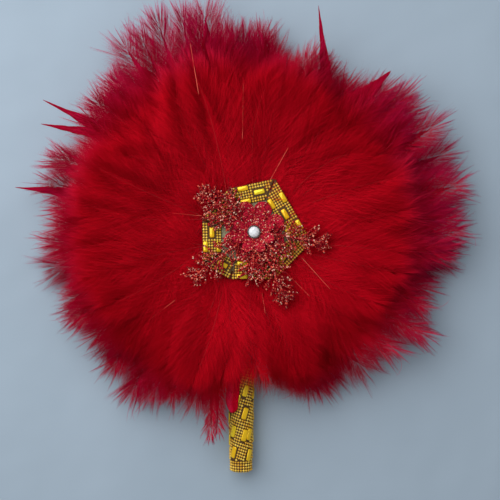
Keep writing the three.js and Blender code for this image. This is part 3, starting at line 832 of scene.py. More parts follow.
def add_shown_quill(soup, tree, root_height, start, end):
    """Adds a bare quill that lies on top of its bunch."""
    path = on_solid(tree, straight(polar(start), polar(end)), root_height, 1.0, SHOWN_QUILL_LIFT)
    add_shaft(soup, path, QUILL_RADIUS, SHOWN_QUILL_TAPER, SHOWN_QUILL_TONE)


def handle_limit(tip):
    """How far from the hub a feather may reach so that the handle stays bare."""
    x, y = tip
    if y > -HANDLE_COVER / 2:
        return math.inf
    return HANDLE_COVER + HANDLE_SLOPE * max(0.0, abs(x) - HANDLE_LANE)


def on_axis(axis, place, spread):
    """Whether a place lies within an angle of a plume's axis."""
    return np.dot(unit(polar(place)), axis) > math.cos(spread)


def plume_piece(ring, number, bunch, tone, seed):
    """One bunch of feathers, in the room of its CAD solid."""
    node = f"{ring}_plume_{number}"
    rng = np.random.default_rng(seed)
    points = node_points(node)
    distance = np.hypot(points[:, 0], points[:, 1])
    root = points[distance < distance.min() + 2 * MM].mean(axis=0)
    axis = root[:2] / np.hypot(*root[:2])
    along = points[:, :2] @ axis
    across = points[:, 1] * axis[0] - points[:, 0] * axis[1]
    half_width = (across.max() - across.min()) / 2
    tree = solid_tree(node)
    soup = Soup()
    places = np.linspace(-BUNCH_SPREAD, BUNCH_SPREAD, bunch) + rng.normal(0, PLACE_SPREAD, bunch)
    lifts = rng.permutation(np.linspace(-BUNCH_LIFT, BUNCH_LIFT, bunch))
    for place, lift in zip(places, lifts):
        offset = place * half_width
        reach = (along - BUNCH_ROUNDING * np.abs(across - offset)).max()
        tip = reach * axis + offset * np.array([-axis[1], axis[0]])
        reach = min(reach, handle_limit(tip)) - OVERHANG
        spine = feather_spine(axis, tree, root[2], reach, offset, lift, rng.normal(0, SPINE_BEND))
        feather = Feather(rng, spine, tone + rng.normal(0, TONE_SPREAD), roll=rng.normal(0, ROLL_SPREAD))
        feather.add_web(soup, **LOOSE_WEB)
        feather.add_hairs(soup)
        feather.add_quill(soup, rng.uniform(*QUILL_TONES))
        if ring != "inner":
            feather.add_wisps(soup)
    for carrier, foot, tip, kind in STRAYS:
        if carrier == node:
            add_stray(soup, rng, tree, root[2], foot, tip, kind, tone)
    for start, end in SHOWN_QUILLS:
        if ring == "inner" and on_axis(axis, start, math.pi / PLUME_RINGS[ring][0]):
            add_shown_quill(soup, tree, root[2], start, end)
    soup.piece(f"{node}_feathers", [node], [FEATHER, QUILL], palette_map=True)


plume_seed = SEED
for plume_ring, (plumes, plume_bunch, plume_tone) in PLUME_RINGS.items():
    for plume_number in range(1, plumes + 1):
        plume_piece(plume_ring, plume_number, plume_bunch, plume_tone, plume_seed)
        plume_seed += 1


# Gold bead trim

BEAD_PITCH = 2.3 * MM
BEAD_RADIUS = 1.14 * MM
BEAD_SIZES = (0.94, 1.04)
BEAD_PINCH = 0.74
BEAD_SHAPE = lathe_shape([(0, -0.2), (1.0, -0.2), (1.0, 0.1), (0.66, 0.6), (0, 0.82)], 8, BEAD_PINCH)
BAR_SIZE = np.array([9.0, 4.0, 1.6]) * MM
WRAP_BAR_SIZE = np.array([10.0, 4.4, 1.05]) * MM
BAR_LANE = 5.6 * MM
BAR_CLEARANCE = 0.75 * MM
# A bar is a stack of rings: the height and inset of each, as shares of its size, and their outline in half
# sizes. At the ends of the bar the inset is smaller.
BAR_RINGS = ((0.0, 0.0), (0.6, 0.0), (0.84, 0.10), (1.0, 0.32))
BAR_CORNERS = ((1, 0.7), (0.86, 1), (-0.86, 1), (-1, 0.7), (-1, -0.7), (-0.86, -1), (0.86, -1), (1, -0.7))
BAR_END_INSET = 0.55


def bar_shape():
    """A low domed bar with cut corners, one unit long, wide and high."""
    points = []
    for height, inset in BAR_RINGS:
        for x, y in BAR_CORNERS:
            points.append((x * (0.5 - inset * BAR_END_INSET), y * (0.5 - inset), height))
    rings, corners = len(BAR_RINGS), len(BAR_CORNERS)
    return np.array(points), np.array(ring_faces(0, rings, corners) + flat_ends(rings, corners))


BAR_SHAPE = bar_shape()


def bar_places(singles, pairs):
    """Places of raised bars: single ones in the middle of a trim, and pairs to both sides of it."""
    places = [(station, 0.0) for station in singles]
    return places + [(station, lane) for station in pairs for lane in (-BAR_LANE, BAR_LANE)]


def surface_frames(surface, stations, lanes):
    """Points on a trim's face, and the axes along it, across it and off it."""
    nudge = 0.05 * MM
    centers = surface(stations, lanes)
    along = unit(surface(stations + nudge, lanes) - surface(stations - nudge, lanes))
    across = surface(stations, lanes + nudge) - surface(stations, lanes - nudge)
    off = unit(np.cross(along, across))
    across = np.cross(off, along)
    return centers, np.stack([along, across, off], axis=1)


def add_trim(soup, rng, surface, spans, lanes, bars, bar_size=BAR_SIZE):
    """Adds rows of beads on a trim's face, with raised bars that take the room of some beads."""
    for lane in lanes:
        start, end = spans(lane)
        first = math.ceil((start + BEAD_RADIUS) / BEAD_PITCH)
        stations = np.arange(first, math.floor((end - BEAD_RADIUS) / BEAD_PITCH) + 1) * BEAD_PITCH
        free = np.ones(len(stations), bool)
        for bar_station, bar_lane in bars:
            beside = np.abs(stations - bar_station) < bar_size[0] / 2 + BAR_CLEARANCE
            free &= ~(beside & (abs(lane - bar_lane) < bar_size[1] / 2 + BAR_CLEARANCE))
        stations = stations[free]
        centers, frames = surface_frames(surface, stations, np.full(len(stations), lane))
        sizes = BEAD_RADIUS * rng.uniform(*BEAD_SIZES, (len(stations), 1))
        add_stamps(soup, BEAD_SHAPE, centers, frames, sizes, rng.uniform(0.0, 1.0, len(stations)), material=1)
    if bars:
        places = np.array(bars)
        centers, frames = surface_frames(surface, places[:, 0], places[:, 1])
        add_stamps(soup, BAR_SHAPE, centers, frames, bar_size, rng.uniform(0, 1, len(bars)), material=2)


def flat_corners(points):
    """The four corners of a flat strip seen from above, anticlockwise."""
    corners = np.unique(np.round(points[:, :2], 6), axis=0)
    offsets = corners - corners.mean(axis=0)
    return corners[np.argsort(np.arctan2(offsets[:, 1], offsets[:, 0]))]


# Each length of the ring: shares of its length with one bar in the middle, and with a pair of bars
RING_BARS = {
    "right": ([0.49], [0.22, 0.77]),
    "lower_right": ([0.55], []),
    "bottom": ([], [0.76]),
    "lower_left": ([0.5], []),
    "left": ([0.76], [0.34]),
    "upper_left": ([0.5], []),
    "top": ([0.7], [0.28]),
}
TRIM_LANES = (np.arange(7) - 3) * BEAD_PITCH
GROUND_THICKNESS = 0.7 * MM
RING_ROWS = 25
RING_COLUMNS = 9


def ring_piece(place, seed):
    """One straight length of trim, with its ends cut to the corners of the ring."""
    node = f"ring_trim_{place}"
    rng = np.random.default_rng(seed)
    points = node_points(node)
    bottom = points[:, 2].min()
    corners = flat_corners(points[points[:, 2] < bottom + LEVEL_BAND])
    edges = np.roll(corners, -1, axis=0) - corners
    longest = np.argmax(np.linalg.norm(edges, axis=1))
    outer_start, outer_end, inner_end, inner_start = np.roll(corners, -longest, axis=0)
    along = unit(outer_end - outer_start)
    across = np.array([-along[1], along[0]])
    middle = (outer_start + inner_start) / 2
    top = bottom + GROUND_THICKNESS

    def surface(stations, lanes):
        flat = middle + stations[:, None] * along + lanes[:, None] * across
        return np.column_stack([flat, np.full(len(flat), top)])

    def spans(lane):
        half = (inner_start - outer_start) @ across / 2
        share = (lane + half) / (2 * half)
        start = (outer_start + (inner_start - outer_start) * share - middle) @ along
        end = (outer_end + (inner_end - outer_end) * share - middle) @ along
        return start, end

    start, end = spans(0.0)
    bars = bar_places(*([end - (end - start) * share for share in shares] for shares in RING_BARS[place]))
    soup = Soup()
    steps = np.linspace(0, 1, RING_ROWS)[:, None, None]
    sides = np.linspace(0, 1, RING_COLUMNS)[None, :, None]
    left = outer_start + (outer_end - outer_start) * steps
    right = inner_start + (inner_end - inner_start) * steps
    plan = left + (right - left) * sides
    low = np.concatenate([plan, np.full(plan.shape[:2] + (1,), bottom)], axis=2)
    add_sheet(soup, np.swapaxes(low, 0, 1), np.swapaxes(low + UP * GROUND_THICKNESS, 0, 1))
    add_trim(soup, rng, surface, spans, TRIM_LANES, bars)
    soup.piece(f"ring_trim_{place}_beads", [node], [GROUND, BEAD, BAR])


for ring_number, ring_place in enumerate(RING_BARS):
    ring_piece(ring_place, SEED + 100 + ring_number)


# Handle

WRAP_STRIPS = 4
WRAP_TURNS = 0.4
WRAP_GAP = 0.35 * MM
WRAP_FOOT = 0.1 * MM
WRAP_ROWS = 60
WRAP_COLUMNS = 11
# Shares of each wound strip with one bar in the middle, and with a pair. Single bars keep off its ends.
WRAP_BARS = ([0.10, 0.53, 0.94], [0.31, 0.74])
WRAP_BAR_SHIFT = 0.04
WRAP_BAR_ENDS = 0.06


def wrap_piece(number, seed):
    """One strip of trim, wound steeply down the handle."""
    node = f"handle_trim_{number}"
    rng = np.random.default_rng(seed)
    axis_height = node_middle("handle_end_cup")[0][2]
    points = node_points(node)
    distances = -points[:, 1]
    radii = np.hypot(points[:, 0], points[:, 2] - axis_height)
    start, end = distances.min(), distances.max()
    length = end - start
    top_radius = radii[distances < start + MM].min()
    end_radius = radii[distances > end - MM].min()
    sector = FULL_TURN / WRAP_STRIPS
    pitch_slope = WRAP_TURNS * FULL_TURN * top_radius / length
    row_slope = pitch_slope / (1 + pitch_slope ** 2)

    def wound(distances, lanes, height):
        share = distances / length
        radius = top_radius + (end_radius - top_radius) * share + height
        turn = (number - 1) * sector - WRAP_TURNS * FULL_TURN * share + lanes / top_radius
        return round_handle(axis_height, radius, turn, -(start + distances))

    def surface(stations, lanes):
        """The rows of beads are square to the strip, so they lean on the handle."""
        return wound(stations + row_slope * lanes, lanes, GROUND_THICKNESS)

    def spans(lane):
        return -row_slope * lane, length - row_slope * lane

    half_width = top_radius * sector / 2 - WRAP_GAP
    lanes = np.linspace(-half_width, half_width, WRAP_COLUMNS)
    grid = np.meshgrid(np.linspace(0, length, WRAP_ROWS), lanes, indexing="ij")
    soup = Soup()
    add_sheet(soup, wound(*grid, WRAP_FOOT), wound(*grid, GROUND_THICKNESS))
    shift = rng.uniform(-WRAP_BAR_SHIFT, WRAP_BAR_SHIFT)
    singles, pairs = ([share + shift for share in shares] for shares in WRAP_BARS)
    singles = [share for share in singles if WRAP_BAR_ENDS < share < 1 - WRAP_BAR_ENDS]
    bars = bar_places([share * length for share in singles], [share * length for share in pairs])
    bead_lanes = TRIM_LANES[np.abs(TRIM_LANES) < half_width - 0.4 * BEAD_RADIUS]
    add_trim(soup, rng, surface, spans, bead_lanes, bars, WRAP_BAR_SIZE)
    soup.piece(f"handle_trim_{number}_beads", [node], [GROUND, BEAD, BAR])


for strip in range(1, WRAP_STRIPS + 1):
    wrap_piece(strip, SEED + 120 + strip)


CUP_FLOOR = 1.2 * MM
CUP_ROUNDING = 0.8 * MM
CUP_CORNERS = 40
# How far the beads stand out of the cup, as a share of their radius
CUP_BEADS_OUT = 0.8
CUP_END_RINGS = 4


def end_cup_piece(seed):
    """The band of trim round the handle's end, with its rows across the handle."""
    rng = np.random.default_rng(seed)
    middle, low, size = node_middle("handle_end_cup")
    points = node_points("handle_end_cup")
    spread = np.hypot(points[:, 0], points[:, 2] - middle[2])
    bore = spread[points[:, 1] > low[1] + size[1] - LEVEL_BAND].min()
    radius = size[0] / 2 - BEAD_RADIUS * CUP_BEADS_OUT
    profile = [(0, 0), (radius - CUP_ROUNDING, 0), (radius - CUP_ROUNDING / 4, CUP_ROUNDING / 4)]
    profile += [(radius, CUP_ROUNDING), (radius, size[1]), (bore, size[1]), (bore, CUP_FLOOR), (0, CUP_FLOOR)]
    soup = Soup()
    base = np.array([[0.0, low[1], middle[2]]])
    upright = np.array([[[1.0, 0, 0], [0, 0, -1.0], [0, 1.0, 0]]])
    add_stamps(soup, lathe_shape(profile, CUP_CORNERS), base, upright)
    per_row = round(FULL_TURN * radius / BEAD_PITCH)

    def side(stations, lanes):
        turn = FULL_TURN * stations / (per_row * BEAD_PITCH)
        return round_handle(middle[2], radius, turn, low[1] + lanes)

    around = (per_row - 0.5) * BEAD_PITCH
    rows = np.arange(0.55 * BEAD_PITCH, size[1], BEAD_PITCH)
    add_trim(soup, rng, side, lambda lane: (-BEAD_RADIUS, around + BEAD_RADIUS), rows, [])
    for ring in range(CUP_END_RINGS):
        ring_radius = ring * BEAD_PITCH
        count = max(1, round(FULL_TURN * ring_radius / BEAD_PITCH))
        turns = np.arange(count) * FULL_TURN / count
        centers = round_handle(middle[2], ring_radius, turns, low[1])
        down = np.tile([[1.0, 0, 0], [0, 0, 1.0], [0, -1.0, 0]], (count, 1, 1))
        add_stamps(soup, BEAD_SHAPE, centers, down, BEAD_RADIUS, rng.uniform(0, 1, count), material=1)
    soup.piece("handle_end_beads", ["handle_end_cup"], [GROUND, BEAD])


end_cup_piece(SEED + 130)


# The grid of the vane, and how far it keeps off the sides of its solid, as a share of the width
VANE_ROWS = 90
VANE_COLUMNS = 13
VANE_MARGIN = 0.02
# Where along the vane its left edge slants in, how far in it goes, and how far the tip lies to the left
SLANT_START = 0.92
SLANT = 0.4
VANE_LEAN = 2.2 * MM
VANE_HALF_THICKNESS = 0.4 * MM
# How many rows the barbs cross from the shaft to the edges, and how high they stand
BARB_SLOPE = 8
BARB_HEIGHT = 0.10 * MM
BARB_WAVES = 2.4
BARB_TONES = (0.42, 0.11)
VANE_SHAFT_RADIUS = 0.55 * MM
VANE_SHAFT_TAPER = 0.7
VANE_SHAFT_TONE = 0.35
VANE_SHAFT_STEP = 6
VANE_SHADE = 0.12
VANE_FADE = 0.05
# A painted highlight on the left of the vane: up to what share of its width, how softly it ends, and by how
# much
PAINTED_HIGHLIGHT_EDGE = 0.62
PAINTED_HIGHLIGHT_BLUR = 0.25
PAINTED_HIGHLIGHT_TONE = 0.55
PAINTED_HIGHLIGHT_FADE = 0.12


def vane_piece(seed):
    """The smooth feather blade that lies over the top of the handle."""
    rng = np.random.default_rng(seed)
    node = "handle_vane"
    points = node_points(node)
    rings = sorted({round(y, 4) for y in points[:, 1]}, reverse=True)
    rows_of_x = [points[np.abs(points[:, 1] - y) < LEVEL_BAND, 0] for y in rings]
    stations = np.linspace(rings[0], rings[-1], VANE_ROWS)
    left = np.interp(-stations, -np.array(rings), [row.min() for row in rows_of_x])[:, None]
    right = np.interp(-stations, -np.array(rings), [row.max() for row in rows_of_x])[:, None]
    shares = np.linspace(0, 1, VANE_COLUMNS)
    along = np.linspace(0, 1, VANE_ROWS)[:, None]
    slant = VANE_MARGIN + SLANT * np.clip((along - SLANT_START) / (1 - SLANT_START), 0, 1) ** 1.4
    x = left + (right - left) * (slant + (1 - VANE_MARGIN - slant) * shares)
    y = np.repeat(stations[:, None], VANE_COLUMNS, axis=1)
    spread = np.abs(shares - 0.5) * 2
    plan = np.column_stack([x.ravel(), y.ravel()])
    middle = solid_levels(solid_tree(node), plan, points[:, 2].min())[0]
    barb_rows = BARB_HEIGHT * np.sin(np.arange(VANE_ROWS) * BARB_WAVES)[:, None] * spread
    grid = np.stack([x - VANE_LEAN * along, y, middle.reshape(x.shape) + barb_rows], axis=-1)
    barb_tones = rng.normal(*BARB_TONES, VANE_ROWS + BARB_SLOPE)
    rows = np.arange(VANE_ROWS)[:, None] + np.round(BARB_SLOPE * (1 - spread)).astype(int)
    # Painted highlight along the vane's left edge
    painted_highlight = np.clip((PAINTED_HIGHLIGHT_EDGE - shares) / PAINTED_HIGHLIGHT_BLUR, 0, 1)[::-1]
    tones = barb_tones[rows][:, ::-1] + PAINTED_HIGHLIGHT_TONE * painted_highlight - VANE_SHADE
    soup = Soup()
    half_web = UP * VANE_HALF_THICKNESS
    add_sheet(soup, grid[:, ::-1] - half_web, grid[:, ::-1] + half_web, tones, VANE_FADE + PAINTED_HIGHLIGHT_FADE * painted_highlight)
    shaft = grid[::VANE_SHAFT_STEP, VANE_COLUMNS // 2] + half_web
    add_shaft(soup, shaft, VANE_SHAFT_RADIUS, VANE_SHAFT_TAPER, VANE_SHAFT_TONE)
    soup.piece("handle_vane_blade", [node], [FEATHER, QUILL], palette_map=True)


vane_piece(SEED + 131)


# Hub

DISC_CORNERS = 96
DISC_ROUNDING = 0.8 * MM
STITCHES = 64
STITCH_STEPS = 5
STITCH_REACH = 0.32
STITCH_HEIGHT = 0.35 * MM
STITCH_RADIUS = 0.3 * MM


def disc_piece(name, node, materials, stitch_inset=None):
    """A felt disc with a rounded rim, with a row of stitches where it is sewn."""
    middle, low, size = node_middle(node)
    radius = size[0] / 2
    thick = size[2]
    edge = min(0.45 * thick, DISC_ROUNDING)
    lower = [(radius * share, 0) for share in (0, 0.25, 0.5, 0.75, 0.92)]
    lower += [(radius - edge, 0), (radius - 0.3 * edge, 0.3 * edge), (radius, edge)]
    profile = lower + [(reach, thick - height) for reach, height in reversed(lower)]
    soup = Soup()
    base = np.array([[middle[0], middle[1], low[2]]])
    add_stamps(soup, lathe_shape(profile, DISC_CORNERS), base, np.eye(3)[None])
    if stitch_inset is not None:
        add_stitches(soup, base[0], radius - stitch_inset, thick)
    soup.piece(name, [node], materials)


def add_stitches(soup, base, radius, height):
    """A ring of short raised stitches on a disc's upper face."""
    reach = np.linspace(-STITCH_REACH, STITCH_REACH, STITCH_STEPS)
    turns = (np.arange(STITCHES)[:, None] + reach) * FULL_TURN / STITCHES
    arch = np.sin(np.linspace(0, math.pi, STITCH_STEPS)) * STITCH_HEIGHT
    paths = round_upright(base, radius, turns, base[2] + height + arch)
    add_hairs(soup, paths, STITCH_RADIUS, 0.5, 0.0, material=1)


disc_piece("center_pad_felt", "center_pad", [PAD_FELT])
disc_piece("back_cover_felt", "back_cover", [COVER_FELT, THREAD], 3 * MM)

SHOWN_NODES = {"handle_rod": WOOD, "back_disc": HUB_BOARD, "front_disc": HUB_BOARD}
for shown_node, shown_material in SHOWN_NODES.items():
    shown_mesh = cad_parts[shown_node].data
    shown_mesh.materials.clear()
    shown_mesh.materials.append(shown_material)


# Flower, sprigs and stone

PETALS = 8
PETAL_THICKNESS = 0.8 * MM
PETAL_CROWN = 0.5 * MM
PETAL_RINGS = 14
PETAL_COLUMNS = 16
RUFFLES = 37
RUFFLE_HEIGHT = 0.25 * MM
# The flakes on a petal: how far they stand off it, and their sizes in millimetres
DUST_GAP = 0.15 * MM
DUST_SIZES = (0.30, 0.80)
FLAKE_HEIGHT = 0.16
FLAKE_OUTLINE = [(1, 0, 0), (0.3, 0.9, 0), (-0.8, 0.6, 0), (-0.9, -0.5, 0), (0.4, -0.9, 0)]
FLAKE_SHAPE = (
    np.array(FLAKE_OUTLINE + [(0, 0, FLAKE_HEIGHT), (0, 0, -FLAKE_HEIGHT)]),
    np.array(cone_faces(0, 5, 5) + [(beside, here, 6) for here, beside, _ in cone_faces(0, 5, 5)]),
)


def flake_frames(rng, normals, tilt):
    """Axes for flakes that lie on a surface, each tipped a little at random."""
    off = unit(normals + rng.normal(0, tilt, normals.shape))
    along = unit(np.cross(off, rng.normal(0, 1, normals.shape)))
    return np.stack([along, np.cross(off, along), off], axis=1)


def flake_tones_painted_glints(rng, count):
    """Most flakes are dark or red, some are pink and a few are nearly white: the pink and white ones are
    painted glints.
    """
    return np.clip(rng.beta(0.6, 1.5, count) * 1.2, 0, 1)


def flower_piece(name, node, notch_share, flat_share, flakes, seed):
    """A stamped flower of one layer, its petals cupped up, dusted with glitter."""
    rng = np.random.default_rng(seed)
    middle, low, size = node_middle(node)
    tip = size[0] / 2 / math.cos(math.pi / PETALS)
    notch = tip * notch_share
    flat = tip * flat_share
    rise = size[2] - PETAL_THICKNESS - PETAL_CROWN

    def bloom(turn):
        return np.abs(np.sin(turn * PETALS / 2))

    def edge(turn):
        return notch + (tip - notch) * bloom(turn) ** 0.55

    def on_petal(radius, turn, gap):
        """Points over the underside of the petals, which curl up past the flat middle."""
        curl = np.clip((radius - flat) / (tip - flat), 0, 1) ** 1.5 * rise
        crown = PETAL_CROWN * bloom(turn) * np.clip(radius / tip, 0, 1)
        return round_upright(middle, radius, turn, low[2] + (curl + crown) + gap)

    rings = np.linspace(0.04, 1, PETAL_RINGS)[:, None]
    turns = np.linspace(0, FULL_TURN, PETALS * PETAL_COLUMNS + 1)
    ruffle = RUFFLE_HEIGHT * np.sin(turns * RUFFLES) * rings ** 2
    grid = on_petal(rings * edge(turns), turns, ruffle)
    soup = Soup()
    add_sheet(soup, grid, grid + UP * PETAL_THICKNESS)
    flake_turn = rng.uniform(0, FULL_TURN, flakes)
    flake_radius = np.sqrt(rng.uniform(0.02, 1, flakes)) * edge(flake_turn)
    centers = on_petal(flake_radius, flake_turn, PETAL_THICKNESS + DUST_GAP)
    frames = flake_frames(rng, np.tile(UP, (flakes, 1)), 0.35)
    sizes = rng.uniform(*DUST_SIZES, (flakes, 1)) * MM
    add_stamps(soup, FLAKE_SHAPE, centers, frames, sizes, flake_tones_painted_glints(rng, flakes), material=1)
    soup.piece(name, [node], [PETAL, GLITTER_PAINTED_GLINTS])


flower_piece(
    "flower_lower_petals", "flower_lower",
    notch_share=19 / 26.5, flat_share=0.3, flakes=2000, seed=SEED + 140,
)
flower_piece(
    "flower_upper_petals", "flower_upper",
    notch_share=11 / 18, flat_share=0.33, flakes=900, seed=SEED + 141,
)

# Where on a branch the twigs start, as a share of its reach
FIRST_TWIG = 0.24
# Each sprig, with the turn and the share of its reach for every branch, and where on it the twigs start
SPRIGS = {
    "upper_left": [(0.0, 1.0, FIRST_TWIG), (17.0, 0.7, 0.6), (-17.0, 0.7, 0.6)],
    "lower_left": [(0.0, 1.0, FIRST_TWIG), (50.0, 0.6, FIRST_TWIG)],
    "lower_right": [(0.0, 1.0, FIRST_TWIG), (22.0, 0.5, 0.4), (-26.0, 0.5, 0.4)],
    "right": [(0.0, 1.0, FIRST_TWIG)],
}
STEM_STEPS = 16
STEM_END = 0.97
STEM_RADIUS = 0.7 * MM
STEM_WAVE = 0.9 * MM
STEM_WAVE_TURN = 7
WIRE_TONE = 0.12
TWIGS = 44
LAST_TWIG = 0.93
TWIG_STEPS = 5
TWIG_RADIUS = 0.28 * MM
TWIG_OVERHANG = 7 * MM
TWIG_DROOP = 2.0 * MM
# The lengths of the twigs along a branch, and how much more the first ones lean, in degrees
LENGTH_PLACES = [FIRST_TWIG, 0.6, 0.95]
TWIG_LENGTHS = [12 * MM, 16 * MM, 9 * MM]
LEAN_PLACES = [FIRST_TWIG, 0.7]
TWIG_LEANS = [20, 0]
# How much the twigs differ in length, lean in degrees and rise
TWIG_SIZES = (0.7, 1.15)
LEAN_RANGE = (18, 68)
RISE_RANGE = (-0.05, 0.3)
# The flakes on the twigs of a full branch, and how many of those there are for each flake on its stem
SPRIG_FLAKES = 1400
FLAKES_FOR_STEM = 4
# Flakes crowd towards the ends of the twigs, and more of them sit on top than underneath.
FLAKE_CROWDING = 0.6
FLAKE_RISE = 0.5
# Their sizes and their gaps from the wire, in millimetres
FLAKE_SIZES = (0.4, 1.05)
FLAKE_GAPS = (0.4, 1.1)


def add_branch(soup, rng, hub, heights, direction, first, reach, bare, fullness):
    """Adds one wire with its twigs, all coated in coarse glitter."""
    count = round(TWIGS * fullness)
    flakes = round(SPRIG_FLAKES * fullness)
    across = np.array([-direction[1], direction[0], 0.0])
    forward = np.array([direction[0], direction[1], 0.0])

    def stem(at):
        flat = hub[:2] + at[:, None] * direction
        return np.column_stack([flat, np.polyval(heights, at)])

    wave = STEM_WAVE * np.sin(np.linspace(0, STEM_WAVE_TURN, STEM_STEPS))[:, None]
    main = stem(np.linspace(first, reach * STEM_END, STEM_STEPS)) + across * wave
    add_hairs(soup, main[None], STEM_RADIUS, WIRE_TONE, 0.0)
    places = np.linspace(bare, LAST_TWIG, count)
    sides = np.where(np.arange(count) % 2 == 0, 1.0, -1.0)
    lengths = np.interp(places, LENGTH_PLACES, TWIG_LENGTHS) * rng.uniform(*TWIG_SIZES, count)
    leans = np.radians(rng.uniform(*LEAN_RANGE, count) + np.interp(places, LEAN_PLACES, TWIG_LEANS))
    rises = rng.uniform(*RISE_RANGE, count)
    share = np.linspace(0, 1, TWIG_STEPS)
    droop = UP * -TWIG_DROOP * share[:, None] ** 2
    twigs = []
    for start, side, length, lean, rise in zip(places * reach, sides, lengths, leans, rises):
        step = math.cos(lean) * forward + side * math.sin(lean) * across + rise * UP
        twigs.append(stem(np.array([start])) + step * (length * share)[:, None] + droop)
    twigs = np.array(twigs)
    add_hairs(soup, twigs, TWIG_RADIUS, WIRE_TONE, 0.0)
    on_stem = stem(rng.uniform(bare, STEM_END, flakes // FLAKES_FOR_STEM) * reach)
    spots = rng.uniform(0.0, 1.0, (flakes, 1)) ** FLAKE_CROWDING
    on_twig = sample_paths(twigs[rng.integers(0, count, flakes)], spots)[:, 0]
    centers = np.concatenate([on_stem, on_twig])
    total = len(centers)
    away = unit(rng.normal(0, 1, (total, 3)) + UP * FLAKE_RISE)
    centers = centers + away * rng.uniform(*FLAKE_GAPS, (total, 1)) * MM
    sizes = rng.uniform(*FLAKE_SIZES, (total, 1)) * MM
    add_stamps(soup, FLAKE_SHAPE, centers, flake_frames(rng, away, 0.5), sizes, flake_tones_painted_glints(rng, total))


def sprig_piece(place, branches, seed):
    """A glitter sprig: its wire runs where the CAD node's wire runs."""
    rng = np.random.default_rng(seed)
    node = f"sprig_{place}"
    points = node_points(node)
    hub = node_middle("stone_setting")[0]
    offsets = points[:, :2] - hub[:2]
    distance = np.hypot(offsets[:, 0], offsets[:, 1])
    direction = unit(offsets[distance > distance.max() / 2].mean(axis=0))
    reach = distance.max() - TWIG_OVERHANG
    stem_points = np.abs(offsets @ np.array([-direction[1], direction[0]])) < 1.5 * MM
    station = (offsets @ direction)[stem_points]
    heights = np.polyfit(station, points[stem_points, 2], 3)
    angle = math.atan2(direction[1], direction[0])
    soup = Soup()
    for turn, share, bare in branches:
        heading = angle + math.radians(turn)
        toward = np.array([math.cos(heading), math.sin(heading)])
        fullness = share * (1 - bare) / (1 - FIRST_TWIG)
        add_branch(soup, rng, hub, heights, toward, station.min(), reach * share, bare, fullness)
    soup.piece(f"{node}_glitter", [node], [GLITTER_PAINTED_GLINTS])


for sprig_number, (sprig_place, sprig_branches) in enumerate(SPRIGS.items()):
    sprig_piece(sprig_place, sprig_branches, SEED + 150 + sprig_number)


STONE_SIDES = 12
# The rings of the stone's corners: radius, height and turn, as shares of its radius, its height and one side
STONE_RINGS = [(0.72, 0.0, 0.5), (1.0, 0.22, 0.0), (0.98, 0.34, 0.0), (0.74, 0.72, 0.5), (0.42, 1.0, 0.0)]


def stone_piece(seed):
    """A round cut stone: girdle, crown facets and a small table."""
    rng = np.random.default_rng(seed)
    middle, low, size = node_middle("center_stone")
    points = []
    for share, height, turn in STONE_RINGS:
        turns = (np.arange(STONE_SIDES) + turn) * FULL_TURN / STONE_SIDES
        points.append(round_upright(middle, size[0] / 2 * share, turns, low[2] + size[2] * height))
    points = np.concatenate(points)
    faces = []
    for ring in range(len(STONE_RINGS) - 1):
        leads = STONE_RINGS[ring][2] < STONE_RINGS[ring + 1][2]
        for side in range(STONE_SIDES):
            a = ring * STONE_SIDES + side
            b = ring * STONE_SIDES + (side + 1) % STONE_SIDES
            c, d = a + STONE_SIDES, b + STONE_SIDES
            faces += [(a, b, c), (b, d, c)] if leads else [(a, d, c), (a, b, d)]
    faces = np.array(faces + flat_ends(len(STONE_RINGS), STONE_SIDES))
    apart = points[faces].reshape(-1, 3)
    soup = Soup()
    tones = np.repeat(rng.uniform(0.45, 1.0, len(faces)), 3)
    soup.add(apart, np.arange(len(apart)).reshape(-1, 3), tones)
    soup.piece("center_stone_facets", ["center_stone"], [STONE], smooth=False)


SETTING_CORNERS = 72
SETTING_GAP = 0.1 * MM
SETTING_NOTCHES = 18
NOTCH_DEPTH = 0.35 * MM


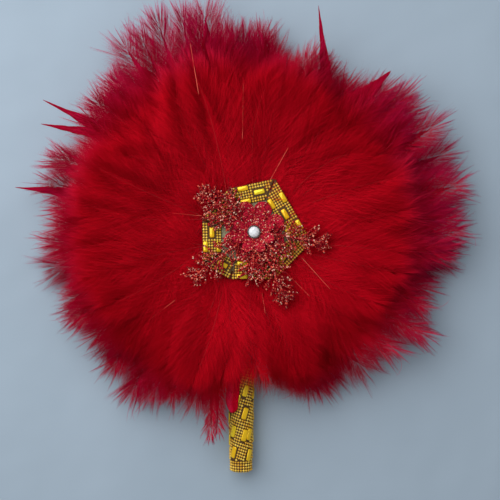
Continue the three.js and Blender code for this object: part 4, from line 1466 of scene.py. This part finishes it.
def setting_piece():
    """The pressed metal cup that grips the stone, with a notched rim."""
    middle, low, size = node_middle("stone_setting")
    stone_low, stone_size = node_middle("center_stone")[1:]
    radius = size[0] / 2
    rim = stone_size[0] / 2 + SETTING_GAP
    floor = stone_low[2] - low[2] - SETTING_GAP
    profile = [
        (0, 0), (radius * 0.9, 0), (radius, 0.4 * MM), (radius, size[2] * 0.8), (radius - 0.2 * MM, size[2]),
        (rim, size[2]), (rim, floor), (0, floor),
    ]
    points, faces = lathe_shape(profile, SETTING_CORNERS)
    turns = np.arctan2(points[:, 1], points[:, 0])
    upper = points[:, 2] > size[2] * 0.9
    points[upper, 2] -= NOTCH_DEPTH * (np.cos(turns[upper] * SETTING_NOTCHES) > 0)
    soup = Soup()
    soup.add(points + np.array([middle[0], middle[1], low[2]]), faces)
    soup.piece("stone_setting_cup", ["stone_setting"], [SETTING])


stone_piece(SEED + 160)
setting_piece()


# Backdrop, light and camera

FLOOR_SIZE = 12.0
FLOOR_LEVEL = -0.5 * MM
ROOM_COLOR = (0.93, 0.97, 1.0, 1.0)
ROOM_STRENGTH = 0.38
WINDOW_PLACE = Vector((-0.52, 0.48, 0.86))
WINDOW_SIZE = 1.4
WINDOW_POWER = 14.8


def make_floor():
    half = FLOOR_SIZE / 2
    mesh = bpy.data.meshes.new("floor")
    corners = [(x, y, FLOOR_LEVEL) for x, y in ((-half, -half), (half, -half), (half, half), (-half, half))]
    mesh.from_pydata(corners, [], [(0, 1, 2, 3)])
    mesh.materials.append(BACKDROP)
    floor = bpy.data.objects.new("floor", mesh)
    bpy.context.scene.collection.objects.link(floor)


def make_light():
    """A soft room, and one window to the upper left."""
    world = bpy.data.worlds.new("soft_room")
    world.use_nodes = True
    background = world.node_tree.nodes["Background"]
    background.inputs["Color"].default_value = ROOM_COLOR
    background.inputs["Strength"].default_value = ROOM_STRENGTH
    bpy.context.scene.world = world
    data = bpy.data.lights.new("window", "AREA")
    data.size = WINDOW_SIZE
    data.energy = WINDOW_POWER
    window = bpy.data.objects.new("window", data)
    window.location = WINDOW_PLACE
    window.rotation_euler = (-WINDOW_PLACE).to_track_quat("-Z", "Y").to_euler()
    bpy.context.scene.collection.objects.link(window)


def make_camera():
    data = bpy.data.cameras.new("camera")
    data.lens = CAMERA_LENS
    data.sensor_width = SENSOR_WIDTH
    camera = bpy.data.objects.new("camera", data)
    middle = PHOTO_PIXELS / 2
    height = SCALE_HEIGHT + PHOTO_PIXELS * PIXEL * CAMERA_LENS / SENSOR_WIDTH
    camera.location = ((middle - HUB_PIXEL[0]) * PIXEL, (HUB_PIXEL[1] - middle) * PIXEL, height)
    bpy.context.scene.collection.objects.link(camera)
    bpy.context.scene.camera = camera


make_floor()
make_light()
make_camera()
bpy.context.scene.view_settings.view_transform = "Standard"
